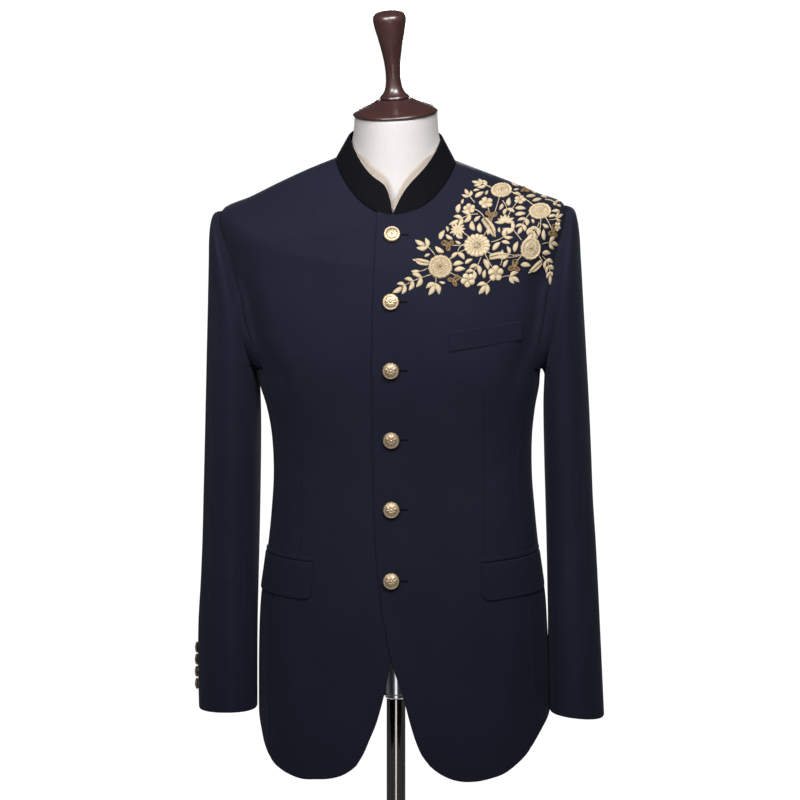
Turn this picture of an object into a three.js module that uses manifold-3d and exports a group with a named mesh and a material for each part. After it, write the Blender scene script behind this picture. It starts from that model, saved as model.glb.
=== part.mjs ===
// A men's high-buttoned wedding coat on a limbless dress form: stand collar, six domed front
// buttons, welted chest pocket, flapped hip pockets, two-piece sleeves and a rounded hem whose
// front lobes dip below the sides. An embroidered spray covers the wearer's left shoulder.
// The form has a covered neck, a turned wooden cap and knob, a steel pole and a round base.
// Millimetres, +Z up, the wearer faces -Y and the wearer's left is +X. The origin is on the
// floor, on the pole's axis.
import * as THREE from "three";
import { mergeVertices } from "three/addons/utils/BufferGeometryUtils.js";
import Module from "manifold-3d";

const wasm = await Module();
wasm.setup();

// Driving dimensions
const CLOTH = 1.8; // wall of a coat panel, face cloth with its interlining
const SEAM_GAP = 0.3; // pieces stand this far apart at a seam
const ARMPIT = 1165; // level of the underarm
const SHOULDER = 1350; // ring level that runs through both shoulder tips
const NECKLINE = 1470; // ring level of the collar seam
const POCKET_LINE = 900; // height where the skirt begins
const RIGHT = -1;
const LEFT = 1;

// Body of the coat, as rings from hem to neckline. Up to the underarm a ring is level. Above it
// the ring climbs to the shoulders: side is its height at the side, drop and rise are how far its
// front lies below and its back above that, and lean lifts the left shoulder and lowers the right.
// front, back, right and left are half sizes from the pole's axis. square is the superellipse power.
const BODY = [
  { level: 600, side: 600, lean: 0, drop: 0, rise: 0, front: 119, back: 128, right: 179.5, left: 199, square: 2.4 },
  { level: 700, side: 700, lean: 0, drop: 0, rise: 0, front: 117, back: 127, right: 179.5, left: 199, square: 2.4 },
  { level: 800, side: 800, lean: 0, drop: 0, rise: 0, front: 115, back: 124, right: 179, left: 198, square: 2.4 },
  { level: 860, side: 860, lean: 0, drop: 0, rise: 0, front: 113, back: 121, right: 176.5, left: 195.5, square: 2.4 },
  { level: 900, side: 900, lean: 0, drop: 0, rise: 0, front: 112, back: 117, right: 171, left: 190, square: 2.45 },
  { level: 937, side: 937, lean: 0, drop: 0, rise: 0, front: 110, back: 112, right: 166, left: 185, square: 2.5 },
  { level: 976, side: 976, lean: 0, drop: 0, rise: 0, front: 109, back: 106, right: 162, left: 181, square: 2.5 },
  { level: 1025, side: 1025, lean: 0, drop: 0, rise: 0, front: 109, back: 100, right: 159, left: 177, square: 2.5 },
  { level: 1074, side: 1074, lean: 0, drop: 0, rise: 0, front: 112, back: 99, right: 161, left: 177, square: 2.5 },
  { level: 1113, side: 1113, lean: 0, drop: 0, rise: 0, front: 117, back: 102, right: 167, left: 181, square: 2.6 },
  { level: 1140, side: 1140, lean: 0, drop: 0, rise: 0, front: 121, back: 105, right: 172, left: 186, square: 2.7 },
  { level: 1165, side: 1165, lean: 0, drop: 0, rise: 0, front: 124, back: 108, right: 177, left: 189, square: 2.75 },
  { level: 1208, side: 1212, lean: 1, drop: 12, rise: 10, front: 126, back: 113, right: 208, left: 212, square: 2.3 },
  { level: 1256, side: 1268, lean: 2, drop: 30, rise: 12, front: 125, back: 117, right: 220, left: 220, square: 2.2 },
  { level: 1306, side: 1322, lean: 3, drop: 50, rise: 8, front: 120, back: 116, right: 224, left: 220, square: 2.2 },
  { level: 1350, side: 1370, lean: 4, drop: 66, rise: 4, front: 111, back: 108, right: 226, left: 218, square: 2.2 },
  { level: 1380, side: 1387, lean: 2.5, drop: 68, rise: 6, front: 104, back: 100, right: 188, left: 183, square: 2.15 },
  { level: 1410, side: 1403, lean: 0.5, drop: 69, rise: 9, front: 96, back: 90, right: 152, left: 149, square: 2.1 },
  { level: 1440, side: 1418, lean: -1.5, drop: 69, rise: 12, front: 88, back: 77, right: 115, left: 113, square: 2.05 },
  { level: 1470, side: 1431, lean: -3, drop: 67, rise: 15, front: 78, back: 62, right: 78, left: 78, square: 2 },
];
const FRONT_FALL = 1.6; // power of the ring's fall from its side to its front and back

// Hem height by the angle from centre front, on the right and on the left half.
const HEM = [
  { angle: 0, right: 700, left: 700 },
  { angle: 11, right: 659, left: 659 },
  { angle: 16, right: 647, left: 646 },
  { angle: 22, right: 641, left: 639 },
  { angle: 29, right: 639, left: 638 },
  { angle: 36, right: 638, left: 641 },
  { angle: 43, right: 641, left: 646 },
  { angle: 51, right: 647, left: 657 },
  { angle: 59, right: 656, left: 670 },
  { angle: 68, right: 674, left: 689 },
  { angle: 76, right: 697, left: 702 },
  { angle: 90, right: 721, left: 714 },
  { angle: 112, right: 719, left: 716 },
  { angle: 180, right: 708, left: 708 },
];

// Front edges: how far each front's edge lies past centre front towards its own side, by height.
// Below the lowest button the edges curve apart. Above it the left front laps over the right.
const FRONT_EDGE = [
  { height: 640, right: 62, left: 64 },
  { height: 659, right: 50, left: 50 },
  { height: 674, right: 40, left: 39 },
  { height: 693, right: 31, left: 31 },
  { height: 714, right: 21.5, left: 24.5 },
  { height: 748, right: 11, left: 15.4 },
  { height: 793, right: 0.6, left: 0.6 },
  { height: 828, right: -9, left: -6.5 },
  { height: 867, right: -16, left: -13 },
  { height: 907, right: -18, left: -17.5 },
  { height: 960, right: -18, left: -21.5 },
  { height: 1040, right: -18, left: -23.7 },
  { height: 1240, right: -18, left: -23.5 },
  { height: 1364, right: -18, left: -20 },
];
const LAP_LIFT = 2.6; // the left front stands this far off where it lies on the right one
const LAP_FLAT = 24;
const LAP_FADE = 55;

// Angle of the seam between front and side, and between side and back, up to the underarm, and of
// the armhole's front and back edge above it. They meet at the shoulder tip.
const SEAMS = [
  { level: 600, front: 62, back: 118 },
  { level: 900, front: 60, back: 119 },
  { level: 1040, front: 60, back: 119 },
  { level: 1110, front: 64, back: 116 },
  { level: 1165, front: 70, back: 111 },
  { level: 1185, front: 64, back: 117 },
  { level: 1208, front: 61, back: 120 },
  { level: 1256, front: 62, back: 118 },
  { level: 1306, front: 70, back: 110 },
  { level: 1335, front: 79, back: 101 },
  { level: 1350, front: 90, back: 90 },
];

const clamp = THREE.MathUtils.clamp;
const mix = THREE.MathUtils.lerp;
const smooth = THREE.MathUtils.smoothstep;
const radians = THREE.MathUtils.degToRad;

// Value of a column at a place between a table's rows, on a smooth curve through them.
function along(rows, key, at, column) {
  let i = 0;
  while (i < rows.length - 2 && at > rows[i + 1][key]) i += 1;
  const slope = (k) => {
    const low = rows[Math.max(k - 1, 0)];
    const high = rows[Math.min(k + 1, rows.length - 1)];
    return (high[column] - low[column]) / (high[key] - low[key]);
  };
  const width = rows[i + 1][key] - rows[i][key];
  const t = clamp((at - rows[i][key]) / width, 0, 1);
  const t2 = t * t;
  const t3 = t2 * t;
  return (
    (2 * t3 - 3 * t2 + 1) * rows[i][column] +
    (t3 - 2 * t2 + t) * width * slope(i) +
    (3 * t2 - 2 * t3) * rows[i + 1][column] +
    (t3 - t2) * width * slope(i + 1)
  );
}

// Value of a column on straight lines between the rows.
function straight(rows, key, at, column) {
  let i = 0;
  while (i < rows.length - 2 && at > rows[i + 1][key]) i += 1;
  const t = clamp((at - rows[i][key]) / (rows[i + 1][key] - rows[i][key]), 0, 1);
  return mix(rows[i][column], rows[i + 1][column], t);
}

// Point of the coat's outside at an angle from centre front, positive to the wearer's left.
function bodyPoint(angle, level) {
  const at = (column) => along(BODY, "level", level, column);
  const a = radians(angle);
  const sin = Math.sin(a);
  const cos = Math.cos(a);
  const power = 2 / at("square");
  const half = sin < 0 ? at("right") : at("left");
  const depth = cos > 0 ? at("front") : at("back");
  const fall = Math.abs(cos) ** FRONT_FALL * (cos > 0 ? -at("drop") : at("rise"));
  return new THREE.Vector3(
    Math.sign(sin) * half * Math.abs(sin) ** power,
    -Math.sign(cos) * depth * Math.abs(cos) ** power,
    at("side") + at("lean") * sin + fall,
  );
}

// Direction straight out of the coat there.
function bodyNormal(angle, level) {
  const step = 0.6;
  const across = bodyPoint(angle + step, level).sub(bodyPoint(angle - step, level));
  const low = Math.max(level - 2 * step, 600);
  const high = Math.min(level + 2 * step, NECKLINE);
  const up = bodyPoint(angle, high).sub(bodyPoint(angle, low));
  return across.cross(up).normalize();
}

function bodyAt(angle, level, out) {
  return bodyPoint(angle, level).addScaledVector(bodyNormal(angle, level), out);
}

// Angle on a ring where the front has this much width, signed as x is.
function angleOf(x, level) {
  const half = along(BODY, "level", level, x < 0 ? "right" : "left");
  const share = clamp(Math.abs(x) / half, 0, 0.999) ** (along(BODY, "level", level, "square") / 2);
  return Math.sign(x) * THREE.MathUtils.radToDeg(Math.asin(share));
}

// Angle and level of the front's point that is seen at this x and height.
function frontPlace(x, height) {
  let low = 600;
  let high = NECKLINE;
  for (let i = 0; i < 40; i += 1) {
    const middle = (low + high) / 2;
    if (bodyPoint(angleOf(x, middle), middle).z < height) low = middle;
    else high = middle;
  }
  return { angle: angleOf(x, low), level: low };
}

// Closed solid between a grid of outer points and a grid of inner ones, both [row][column].
function wall(outer, inner) {
  const rows = outer.length;
  const columns = outer[0].length;
  const positions = [];
  for (const grid of [outer, inner])
    for (const row of grid) for (const p of row) positions.push(p.x, p.y, p.z);
  const id = (layer, r, c) => (layer * rows + r) * columns + c;
  const faces = [];
  const quad = (a, b, c, d) => faces.push(a, b, c, a, c, d);
  for (let r = 0; r < rows - 1; r += 1)
    for (let c = 0; c < columns - 1; c += 1) {
      quad(id(0, r, c), id(0, r, c + 1), id(0, r + 1, c + 1), id(0, r + 1, c));
      quad(id(1, r, c), id(1, r + 1, c), id(1, r + 1, c + 1), id(1, r, c + 1));
    }
  for (let c = 0; c < columns - 1; c += 1) {
    quad(id(0, 0, c), id(1, 0, c), id(1, 0, c + 1), id(0, 0, c + 1));
    quad(id(0, rows - 1, c), id(0, rows - 1, c + 1), id(1, rows - 1, c + 1), id(1, rows - 1, c));
  }
  for (let r = 0; r < rows - 1; r += 1) {
    quad(id(0, r, 0), id(0, r + 1, 0), id(1, r + 1, 0), id(1, r, 0));
    quad(id(0, r, columns - 1), id(1, r, columns - 1), id(1, r + 1, columns - 1), id(0, r + 1, columns - 1));
  }
  const geometry = new THREE.BufferGeometry();
  geometry.setAttribute("position", new THREE.Float32BufferAttribute(positions, 3));
  geometry.setIndex(faces);
  return geometry;
}

// Closed solid through a stack of rings with flat ends, for the form and its neck.
function stack(rings) {
  const count = rings[0].length;
  const positions = rings.flat().flatMap((p) => [p.x, p.y, p.z]);
  const faces = [];
  for (let r = 0; r < rings.length - 1; r += 1)
    for (let c = 0; c < count; c += 1) {
      const next = (c + 1) % count;
      const [a, b, d, e] = [r * count + c, r * count + next, (r + 1) * count + next, (r + 1) * count + c];
      faces.push(a, b, d, a, d, e);
    }
  for (const [r, flip] of [[0, true], [rings.length - 1, false]]) {
    const centre = new THREE.Vector3();
    rings[r].forEach((p) => centre.addScaledVector(p, 1 / count));
    const hub = positions.length / 3;
    positions.push(centre.x, centre.y, centre.z);
    for (let c = 0; c < count; c += 1) {
      const [a, b] = [r * count + c, r * count + ((c + 1) % count)];
      faces.push(...(flip ? [b, a, hub] : [a, b, hub]));
    }
  }
  const geometry = new THREE.BufferGeometry();
  geometry.setAttribute("position", new THREE.Float32BufferAttribute(positions, 3));
  geometry.setIndex(faces);
  return geometry;
}

const part = new THREE.Group();
const MATERIALS = {
  navy_wool: new THREE.MeshStandardMaterial({ color: 0x1b1d2b, roughness: 0.85, metalness: 0 }),
  collar_wool: new THREE.MeshStandardMaterial({ color: 0x15161f, roughness: 0.85, metalness: 0 }),
  cream_cotton: new THREE.MeshStandardMaterial({ color: 0xcfc3b4, roughness: 0.9, metalness: 0 }),
  gold_button: new THREE.MeshStandardMaterial({ color: 0xd8b98c, roughness: 0.3, metalness: 0.9 }),
  gold_thread: new THREE.MeshStandardMaterial({ color: 0xd9c08c, roughness: 0.55, metalness: 0.3 }),
  form_linen: new THREE.MeshStandardMaterial({ color: 0xe3dedb, roughness: 0.9, metalness: 0 }),
  dark_wood: new THREE.MeshStandardMaterial({ color: 0x4a2c28, roughness: 0.35, metalness: 0 }),
  steel: new THREE.MeshStandardMaterial({ color: 0xb8bac0, roughness: 0.2, metalness: 1 }),
};

function add(name, geometry, material) {
  const mesh = new THREE.Mesh(geometry, MATERIALS[material]);
  mesh.name = name;
  part.add(mesh);
  return mesh;
}

// Rows of a panel: a place function that gives the level at an angle, and the level of its seams.
const SKIRT_ROWS = 7;
const TORSO_LEVELS = [900, 955, 1010, 1065, 1115, 1143];
const YOKE_LEVELS = [1165, 1186, 1208, 1240, 1272, 1306, 1330, 1350];
const SHOULDER_LEVELS = [1370, 1390, 1410, 1430, 1450, 1470];
const TOP_TRIM = 0.4; // a neckline stops this short of the collar

function hemHeight(angle) {
  return along(HEM, "angle", Math.abs(angle), angle < 0 ? "right" : "left");
}

function panelRows(skirtRows, upperLevels) {
  const rows = [];
  for (let k = 0; k < skirtRows; k += 1) {
    const share = k / skirtRows;
    rows.push({ seam: mix(680, POCKET_LINE, share), level: (angle) => mix(hemHeight(angle), POCKET_LINE, share) });
  }
  for (const level of upperLevels) rows.push({ seam: level, level: () => level });
  return rows;
}

// A share of a seam gap on the body, as an angle.
function gapAngle(level) {
  return THREE.MathUtils.radToDeg((SEAM_GAP * 0.6) / along(BODY, "level", level, "front"));
}

// Fronts. Each runs from its front edge to the side seam, the armhole and the shoulder seam.
const FRONT_COLUMNS = 10;

// How far the left front stands off its own surface, where it passes over the right one.
function lapLift(x) {
  return LAP_LIFT * (1 - smooth(x, LAP_FLAT, LAP_FADE));
}

function frontGrid(side, out) {
  const rows = panelRows(SKIRT_ROWS, [...TORSO_LEVELS, ...YOKE_LEVELS, ...SHOULDER_LEVELS]);
  const column = side === LEFT ? "left" : "right";
  return rows.map((row, index) =>
    Array.from({ length: FRONT_COLUMNS + 1 }, (_, c) => {
      const share = c / FRONT_COLUMNS;
      const seam = straight(SEAMS, "level", row.seam, "front") - gapAngle(row.seam);
      const edgeLevel = index < SKIRT_ROWS ? mix(659, POCKET_LINE, index / SKIRT_ROWS) : row.seam;
      const edgeHeight = bodyPoint(0, edgeLevel).z;
      const edge = angleOf(along(FRONT_EDGE, "height", edgeHeight, column), edgeLevel);
      const own = mix(edge, seam, share);
      const angle = own * side;
      const level = row.level(own < 0 ? 11 * side : Math.max(own, 11) * side);
      const x = Math.abs(bodyPoint(angle, level).x) * Math.sign(own);
      const lift = side === LEFT ? lapLift(x) : 0;
      const p = bodyAt(angle, level, out + lift);
      if (index === rows.length - 1) p.z -= TOP_TRIM;
      return p;
    }),
  );
}

function mirroredOrder(grid, side) {
  return side === LEFT ? grid : grid.map((row) => [...row].reverse());
}

for (const [side, name] of [[LEFT, "front_left"], [RIGHT, "front_right"]])
  add(name, wall(mirroredOrder(frontGrid(side, 0), side), mirroredOrder(frontGrid(side, -CLOTH), side)), "navy_wool");

// Side panels, from the front seam to the back seam, up to the underarm.
function sideGrid(side, out) {
  const columns = 4;
  return panelRows(6, [...TORSO_LEVELS, ARMPIT - SEAM_GAP]).map((row) =>
    Array.from({ length: columns + 1 }, (_, c) => {
      const gap = gapAngle(row.seam);
      const low = straight(SEAMS, "level", row.seam, "front") + gap;
      const high = straight(SEAMS, "level", row.seam, "back") - gap;
      const angle = mix(low, high, c / columns) * side;
      return bodyAt(angle, row.level(angle), out);
    }),
  );
}

for (const [side, name] of [[LEFT, "side_left"], [RIGHT, "side_right"]])
  add(name, wall(mirroredOrder(sideGrid(side, 0), side), mirroredOrder(sideGrid(side, -CLOTH), side)), "navy_wool");

// Backs, from the back seam, the armhole and the shoulder seam to the centre back seam.
function backGrid(side, out) {
  const columns = 8;
  const levels = [...TORSO_LEVELS, ...YOKE_LEVELS, ...SHOULDER_LEVELS];
  return panelRows(5, levels).map((row, index) =>
    Array.from({ length: columns + 1 }, (_, c) => {
      const gap = gapAngle(row.seam);
      const low = straight(SEAMS, "level", row.seam, "back") + gap;
      const angle = mix(low, 180 - gap, c / columns) * side;
      const p = bodyAt(angle, row.level(angle), out);
      if (index === levels.length + 4) p.z -= TOP_TRIM;
      return p;
    }),
  );
}

for (const [side, name] of [[LEFT, "back_left"], [RIGHT, "back_right"]])
  add(name, wall(mirroredOrder(backGrid(side, 0), side), mirroredOrder(backGrid(side, -CLOTH), side)), "navy_wool");

// Stand collar, one band from centre front round the neck. Its front ends are cut away in a curve.
const COLLAR_CLOTH = 2.4;
const COLLAR_TOP = { half: 60, front: 69, back: 53, side: 1464, lean: -2, drop: 61, rise: 19 };
const COLLAR_END = { right: { reach: 32, power: 5 }, left: { reach: 60, power: 4.4 } };
const COLLAR_LEAST = 0.07; // height left at the very end, as a share

function collarFall(cos) {
  return Math.abs(cos) ** FRONT_FALL * (cos > 0 ? -COLLAR_TOP.drop : COLLAR_TOP.rise);
}

function collarPoint(angle, share) {
  const base = bodyPoint(angle, NECKLINE);
  const a = radians(angle);
  const cos = Math.cos(a);
  const top = new THREE.Vector3(
    COLLAR_TOP.half * Math.sin(a),
    -cos * (cos > 0 ? COLLAR_TOP.front : COLLAR_TOP.back),
    COLLAR_TOP.side + COLLAR_TOP.lean * Math.sin(a) + collarFall(cos),
  );
  return base.lerp(top, share).add(new THREE.Vector3(0, 0, SEAM_GAP * 1.5));
}

function collarNormal(angle, share) {
  const across = collarPoint(angle + 0.5, share).sub(collarPoint(angle - 0.5, share));
  const up = collarPoint(angle, 1).sub(collarPoint(angle, 0));
  return across.cross(up).normalize();
}

// Height of the collar's top edge at this angle, as a share of the full height.
function collarHeight(angle) {
  const end = angle < 0 ? COLLAR_END.right : COLLAR_END.left;
  const run = radians(Math.abs(angle)) * COLLAR_TOP.front;
  return mix(COLLAR_LEAST, 1, 1 - (1 - clamp(run / end.reach, 0, 1)) ** end.power);
}

// Angles round the neck, close together at the cut-away ends.
function collarAngles(first, count, power) {
  const half = Array.from({ length: count + 1 }, (_, i) => first + (180 - first) * (i / count) ** power);
  return [...half.slice(0, -1), ...half.reverse().map((a) => 360 - a)].map((a) => (a > 180 ? a - 360 : a));
}

function collarGrid(out) {
  const rows = 3;
  const angles = collarAngles(0.3, 15, 1.7);
  return Array.from({ length: rows + 1 }, (_, r) =>
    angles.map((angle) => {
      const share = (collarHeight(angle) * r) / rows;
      return collarPoint(angle, share).addScaledVector(collarNormal(angle, share), out);
    }),
  );
}

add("collar", wall(collarGrid(0), collarGrid(-COLLAR_CLOTH)), "collar_wool");

// Cream cotton strip inside the collar, which stands above its edge between the sides and the front.
const STRIP = { cloth: 1, gap: 0.7, foot: 0.04, rise: 12, sink: 0.6, fadeFrom: 40, fadeTo: 64, reach: 68 };

function stripGrid(side, out) {
  const columns = 10;
  const own = -COLLAR_CLOTH - STRIP.gap;
  return [0, 0.5, 1, 2].map((row) =>
    Array.from({ length: columns + 1 }, (_, c) => {
      const angle = side * mix(0.5, STRIP.reach, (c / columns) ** 1.5);
      const fade = 1 - smooth(Math.abs(angle), STRIP.fadeFrom, STRIP.fadeTo);
      const share = mix(STRIP.foot, collarHeight(angle), Math.min(row, 1));
      const p = collarPoint(angle, share).addScaledVector(collarNormal(angle, share), own + out);
      if (row === 2) p.z += mix(STRIP.sink, STRIP.rise, fade);
      return p;
    }),
  );
}

for (const [side, name] of [[LEFT, "collar_strip_left"], [RIGHT, "collar_strip_right"]])
  add(name, wall(mirroredOrder(stripGrid(side, 0), side), mirroredOrder(stripGrid(side, -STRIP.cloth), side)), "cream_cotton");

// Sleeves, as rings from the armhole to the cuff. inX, outX, inZ and outZ place a ring's side next
// to the body and its outer side, front and back are its reach in Y. Sizes by the wearer's side.
const SLEEVES = {
  [RIGHT]: [
    { ring: 1, inX: 181, inZ: 1157, outX: 236, outZ: 1361, front: -71, back: 68 },
    { ring: 2, inX: 180, inZ: 1149, outX: 241, outZ: 1342, front: -76, back: 74 },
    { ring: 3, inX: 178.5, inZ: 1139, outX: 242.5, outZ: 1300, front: -77, back: 78 },
    { ring: 4, inX: 177.5, inZ: 1124, outX: 244, outZ: 1245, front: -76, back: 80 },
    { ring: 5, inX: 177, inZ: 1104, outX: 246, outZ: 1180, front: -73, back: 80 },
    { ring: 6, inX: 177, inZ: 1076, outX: 248, outZ: 1112, front: -69, back: 79 },
    { ring: 7, inX: 177.5, inZ: 1036, outX: 250, outZ: 1048, front: -64, back: 78 },
    { ring: 8, inX: 178.5, inZ: 988, outX: 252, outZ: 990, front: -58, back: 76 },
    { ring: 9, inX: 179.5, inZ: 937, outX: 253.5, outZ: 937, front: -55, back: 70 },
    { ring: 10, inX: 180.5, inZ: 884, outX: 255.5, outZ: 884, front: -57, back: 62 },
    { ring: 11, inX: 181.4, inZ: 830, outX: 258.3, outZ: 830, front: -60, back: 54 },
    { ring: 12, inX: 181.6, inZ: 774, outX: 258.8, outZ: 774, front: -62, back: 48 },
    { ring: 13, inX: 181.4, inZ: 717, outX: 257.5, outZ: 717, front: -63, back: 42 },
  ],
  [LEFT]: [
    { ring: 1, inX: 193, inZ: 1157, outX: 229, outZ: 1367, front: -71, back: 68 },
    { ring: 2, inX: 192.5, inZ: 1149, outX: 236, outZ: 1348, front: -76, back: 74 },
    { ring: 3, inX: 192, inZ: 1139, outX: 239.5, outZ: 1303, front: -77, back: 78 },
    { ring: 4, inX: 191.5, inZ: 1124, outX: 243, outZ: 1245, front: -76, back: 80 },
    { ring: 5, inX: 191.5, inZ: 1104, outX: 247, outZ: 1180, front: -73, back: 80 },
    { ring: 6, inX: 192, inZ: 1076, outX: 251, outZ: 1112, front: -69, back: 79 },
    { ring: 7, inX: 193, inZ: 1036, outX: 254, outZ: 1048, front: -64, back: 78 },
    { ring: 8, inX: 194.5, inZ: 988, outX: 256.5, outZ: 990, front: -58, back: 76 },
    { ring: 9, inX: 196, inZ: 937, outX: 260.3, outZ: 936, front: -55, back: 70 },
    { ring: 10, inX: 197.5, inZ: 884, outX: 263.5, outZ: 882, front: -57, back: 62 },
    { ring: 11, inX: 199.8, inZ: 830, outX: 266.5, outZ: 826, front: -60, back: 54 },
    { ring: 12, inX: 200.8, inZ: 774, outX: 269.5, outZ: 768, front: -62, back: 48 },
    { ring: 13, inX: 201.2, inZ: 717, outX: 272.5, outZ: 710, front: -63, back: 42 },
  ],
};
const SLEEVE_SQUARE = 2.25;
const ARMHOLE_GAP = 0.8;
const LAST_RING = 13;

// The armhole's edge as a loop of points, each with its turn about the hole's middle: 0 at the
// shoulder tip, a quarter at the front and a half under the arm.
function armholeLoop(side) {
  const steps = 40;
  const places = [];
  for (let i = 0; i < steps; i += 1) {
    const level = mix(SHOULDER, ARMPIT, i / steps);
    places.push([straight(SEAMS, "level", level, "front"), level]);
  }
  for (let i = 0; i < steps / 2; i += 1) {
    const share = (2 * i) / steps;
    const front = straight(SEAMS, "level", ARMPIT, "front");
    places.push([mix(front, straight(SEAMS, "level", ARMPIT, "back"), share), ARMPIT]);
  }
  for (let i = 0; i < steps; i += 1) {
    const level = mix(ARMPIT, SHOULDER, i / steps);
    places.push([straight(SEAMS, "level", level, "back"), level]);
  }
  const points = places.map(([angle, level]) => bodyPoint(angle * side, level));
  const top = points[0].z;
  const middle = (top + ARMPIT) / 2;
  const halfDepth = 67;
  return points.map((p, i) => {
    const turn = Math.atan2(-p.y / halfDepth, (p.z - middle) / (top - middle));
    return { p, turn: i === 0 ? 0 : (turn + 2 * Math.PI) % (2 * Math.PI) };
  });
}

const ARMHOLES = { [LEFT]: armholeLoop(LEFT), [RIGHT]: armholeLoop(RIGHT) };

function armholePoint(side, turn) {
  const loop = ARMHOLES[side];
  let i = loop.length - 1;
  while (i > 0 && loop[i].turn > turn) i -= 1;
  const next = i + 1 < loop.length ? loop[i + 1] : { p: loop[0].p, turn: 2 * Math.PI };
  const share = clamp((turn - loop[i].turn) / Math.max(next.turn - loop[i].turn, 1e-6), 0, 1);
  const p = loop[i].p.clone().lerp(next.p, share);
  p.x += side * ARMHOLE_GAP;
  p.z += Math.max(0, -Math.cos(turn)) * ARMHOLE_GAP;
  return p;
}

// Outer point of a sleeve, at a ring that need not be whole and a turn in radians.
function sleevePoint(side, ring, anyTurn) {
  const turn = (anyTurn + 4 * Math.PI) % (2 * Math.PI);
  if (ring === 0) return armholePoint(side, turn);
  const at = (column) => along(SLEEVES[side], "ring", ring, column);
  const power = 2 / SLEEVE_SQUARE;
  const cos = Math.cos(turn);
  const sin = Math.sin(turn);
  const outward = (1 + Math.sign(cos) * Math.abs(cos) ** power) / 2;
  const forward = Math.sign(sin) * Math.abs(sin) ** power;
  const middle = (at("front") + at("back")) / 2;
  const half = (at("back") - at("front")) / 2;
  return new THREE.Vector3(
    side * mix(at("inX"), at("outX"), outward),
    middle - half * forward,
    mix(at("inZ"), at("outZ"), outward),
  );
}

function sleeveNormal(side, ring, turn) {
  const step = 0.03;
  const across = sleevePoint(side, ring, turn + step).sub(sleevePoint(side, ring, turn - step));
  const above = ring < 1 ? 0 : Math.max(ring - 0.5, 1);
  const below = ring < 1 ? 1 : Math.min(ring + 0.5, LAST_RING);
  const down = sleevePoint(side, below, turn).sub(sleevePoint(side, above, turn));
  return across.cross(down).normalize().multiplyScalar(side);
}

function sleeveAt(side, ring, turn, out) {
  return sleevePoint(side, ring, turn).addScaledVector(sleeveNormal(side, ring, turn), out);
}

// Seams of a sleeve, in degrees of turn: the front seam faces forward and in, the back seam carries
// the cuff buttons. The right sleeve hangs turned, so that its buttons show from the front.
const SLEEVE_FRONT_SEAM = 122;
const SLEEVE_SEAM_GAP = 0.3; // half the gap, in degrees

function sleeveBackSeam(side, ring) {
  return side === RIGHT ? mix(300, 350, smooth(ring / LAST_RING, 0.4, 1)) : 300;
}

function sleeveGrid(side, kind, columns, out) {
  return Array.from({ length: LAST_RING + 1 }, (_, ring) =>
    Array.from({ length: columns + 1 }, (_, c) => {
      const back = sleeveBackSeam(side, ring);
      const low = kind === "top" ? back - 360 : SLEEVE_FRONT_SEAM;
      const high = kind === "top" ? SLEEVE_FRONT_SEAM : back;
      const turn = mix(low + SLEEVE_SEAM_GAP, high - SLEEVE_SEAM_GAP, c / columns);
      return sleeveAt(side, ring, radians(turn), out);
    }),
  );
}

for (const [side, word] of [[LEFT, "left"], [RIGHT, "right"]])
  for (const [kind, columns] of [["top", 11], ["under", 9]]) {
    const outer = mirroredOrder(sleeveGrid(side, kind, columns, 0), side);
    const inner = mirroredOrder(sleeveGrid(side, kind, columns, -CLOTH), side);
    add(`${kind}_sleeve_${word}`, wall(outer, inner), "navy_wool");
  }

// Pocket pieces. Each is laid on the coat through a place function from its own width and height,
// and stands off by the gap that faceted neighbours need.
const LAID_GAP = 0.8;
const LAID_CLOTH = 2.2;

function laidPiece(placeOf, columns, rows) {
  const grid = (out) =>
    Array.from({ length: rows + 1 }, (_, r) =>
      Array.from({ length: columns + 1 }, (_, c) => {
        const { angle, level } = placeOf(c / columns, r / rows);
        return bodyAt(angle, level, out);
      }),
    );
  return wall(grid(LAID_GAP + LAID_CLOTH), grid(LAID_GAP));
}

// Welt of the breast pocket, on the wearer's left. It climbs towards the armhole.
const WELT = { inner: 73, outer: 165, innerLow: 1194, innerHigh: 1220, outerLow: 1207, outerHigh: 1232 };

function weltPlace(across, up) {
  const low = mix(WELT.innerLow, WELT.outerLow, across);
  const high = mix(WELT.innerHigh, WELT.outerHigh, across);
  return frontPlace(mix(WELT.inner, WELT.outer, across), mix(low, high, up));
}

add("breast_welt", laidPiece(weltPlace, 9, 3), "navy_wool");

// Flaps of the hip pockets and the jetting above each. A flap runs back round the side, and its
// lower corners are rounded.
const FLAP = { start: 113, reach: 54, top: 920, riseRight: 5, riseLeft: 8, height: 49, width: 148, corner: 16 };
const JETTING = { height: 6, gap: 0.8 };

function flapPlace(side, across, up) {
  const first = angleOf(FLAP.start, FLAP.top);
  const fromEnd = Math.min(across, 1 - across) * FLAP.width;
  const inCorner = Math.max(0, 1 - fromEnd / FLAP.corner);
  const rounded = FLAP.corner * (1 - Math.sqrt(1 - inCorner * inCorner));
  const top = FLAP.top + across * (side === LEFT ? FLAP.riseLeft : FLAP.riseRight);
  return { angle: side * (first + FLAP.reach * across), level: mix(top - FLAP.height + rounded, top, up) };
}

function jettingPlace(side, across, up) {
  const flap = flapPlace(side, across, 1);
  return { angle: flap.angle, level: flap.level + JETTING.gap + JETTING.height * up };
}

for (const [side, word] of [[LEFT, "left"], [RIGHT, "right"]]) {
  const order = (place) => (across, up) => place(side, side === LEFT ? across : 1 - across, up);
  add(`flap_${word}`, laidPiece(order(flapPlace), 14, 2), "navy_wool");
  add(`jetting_${word}`, laidPiece(order(jettingPlace), 12, 1), "navy_wool");
}

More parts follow.
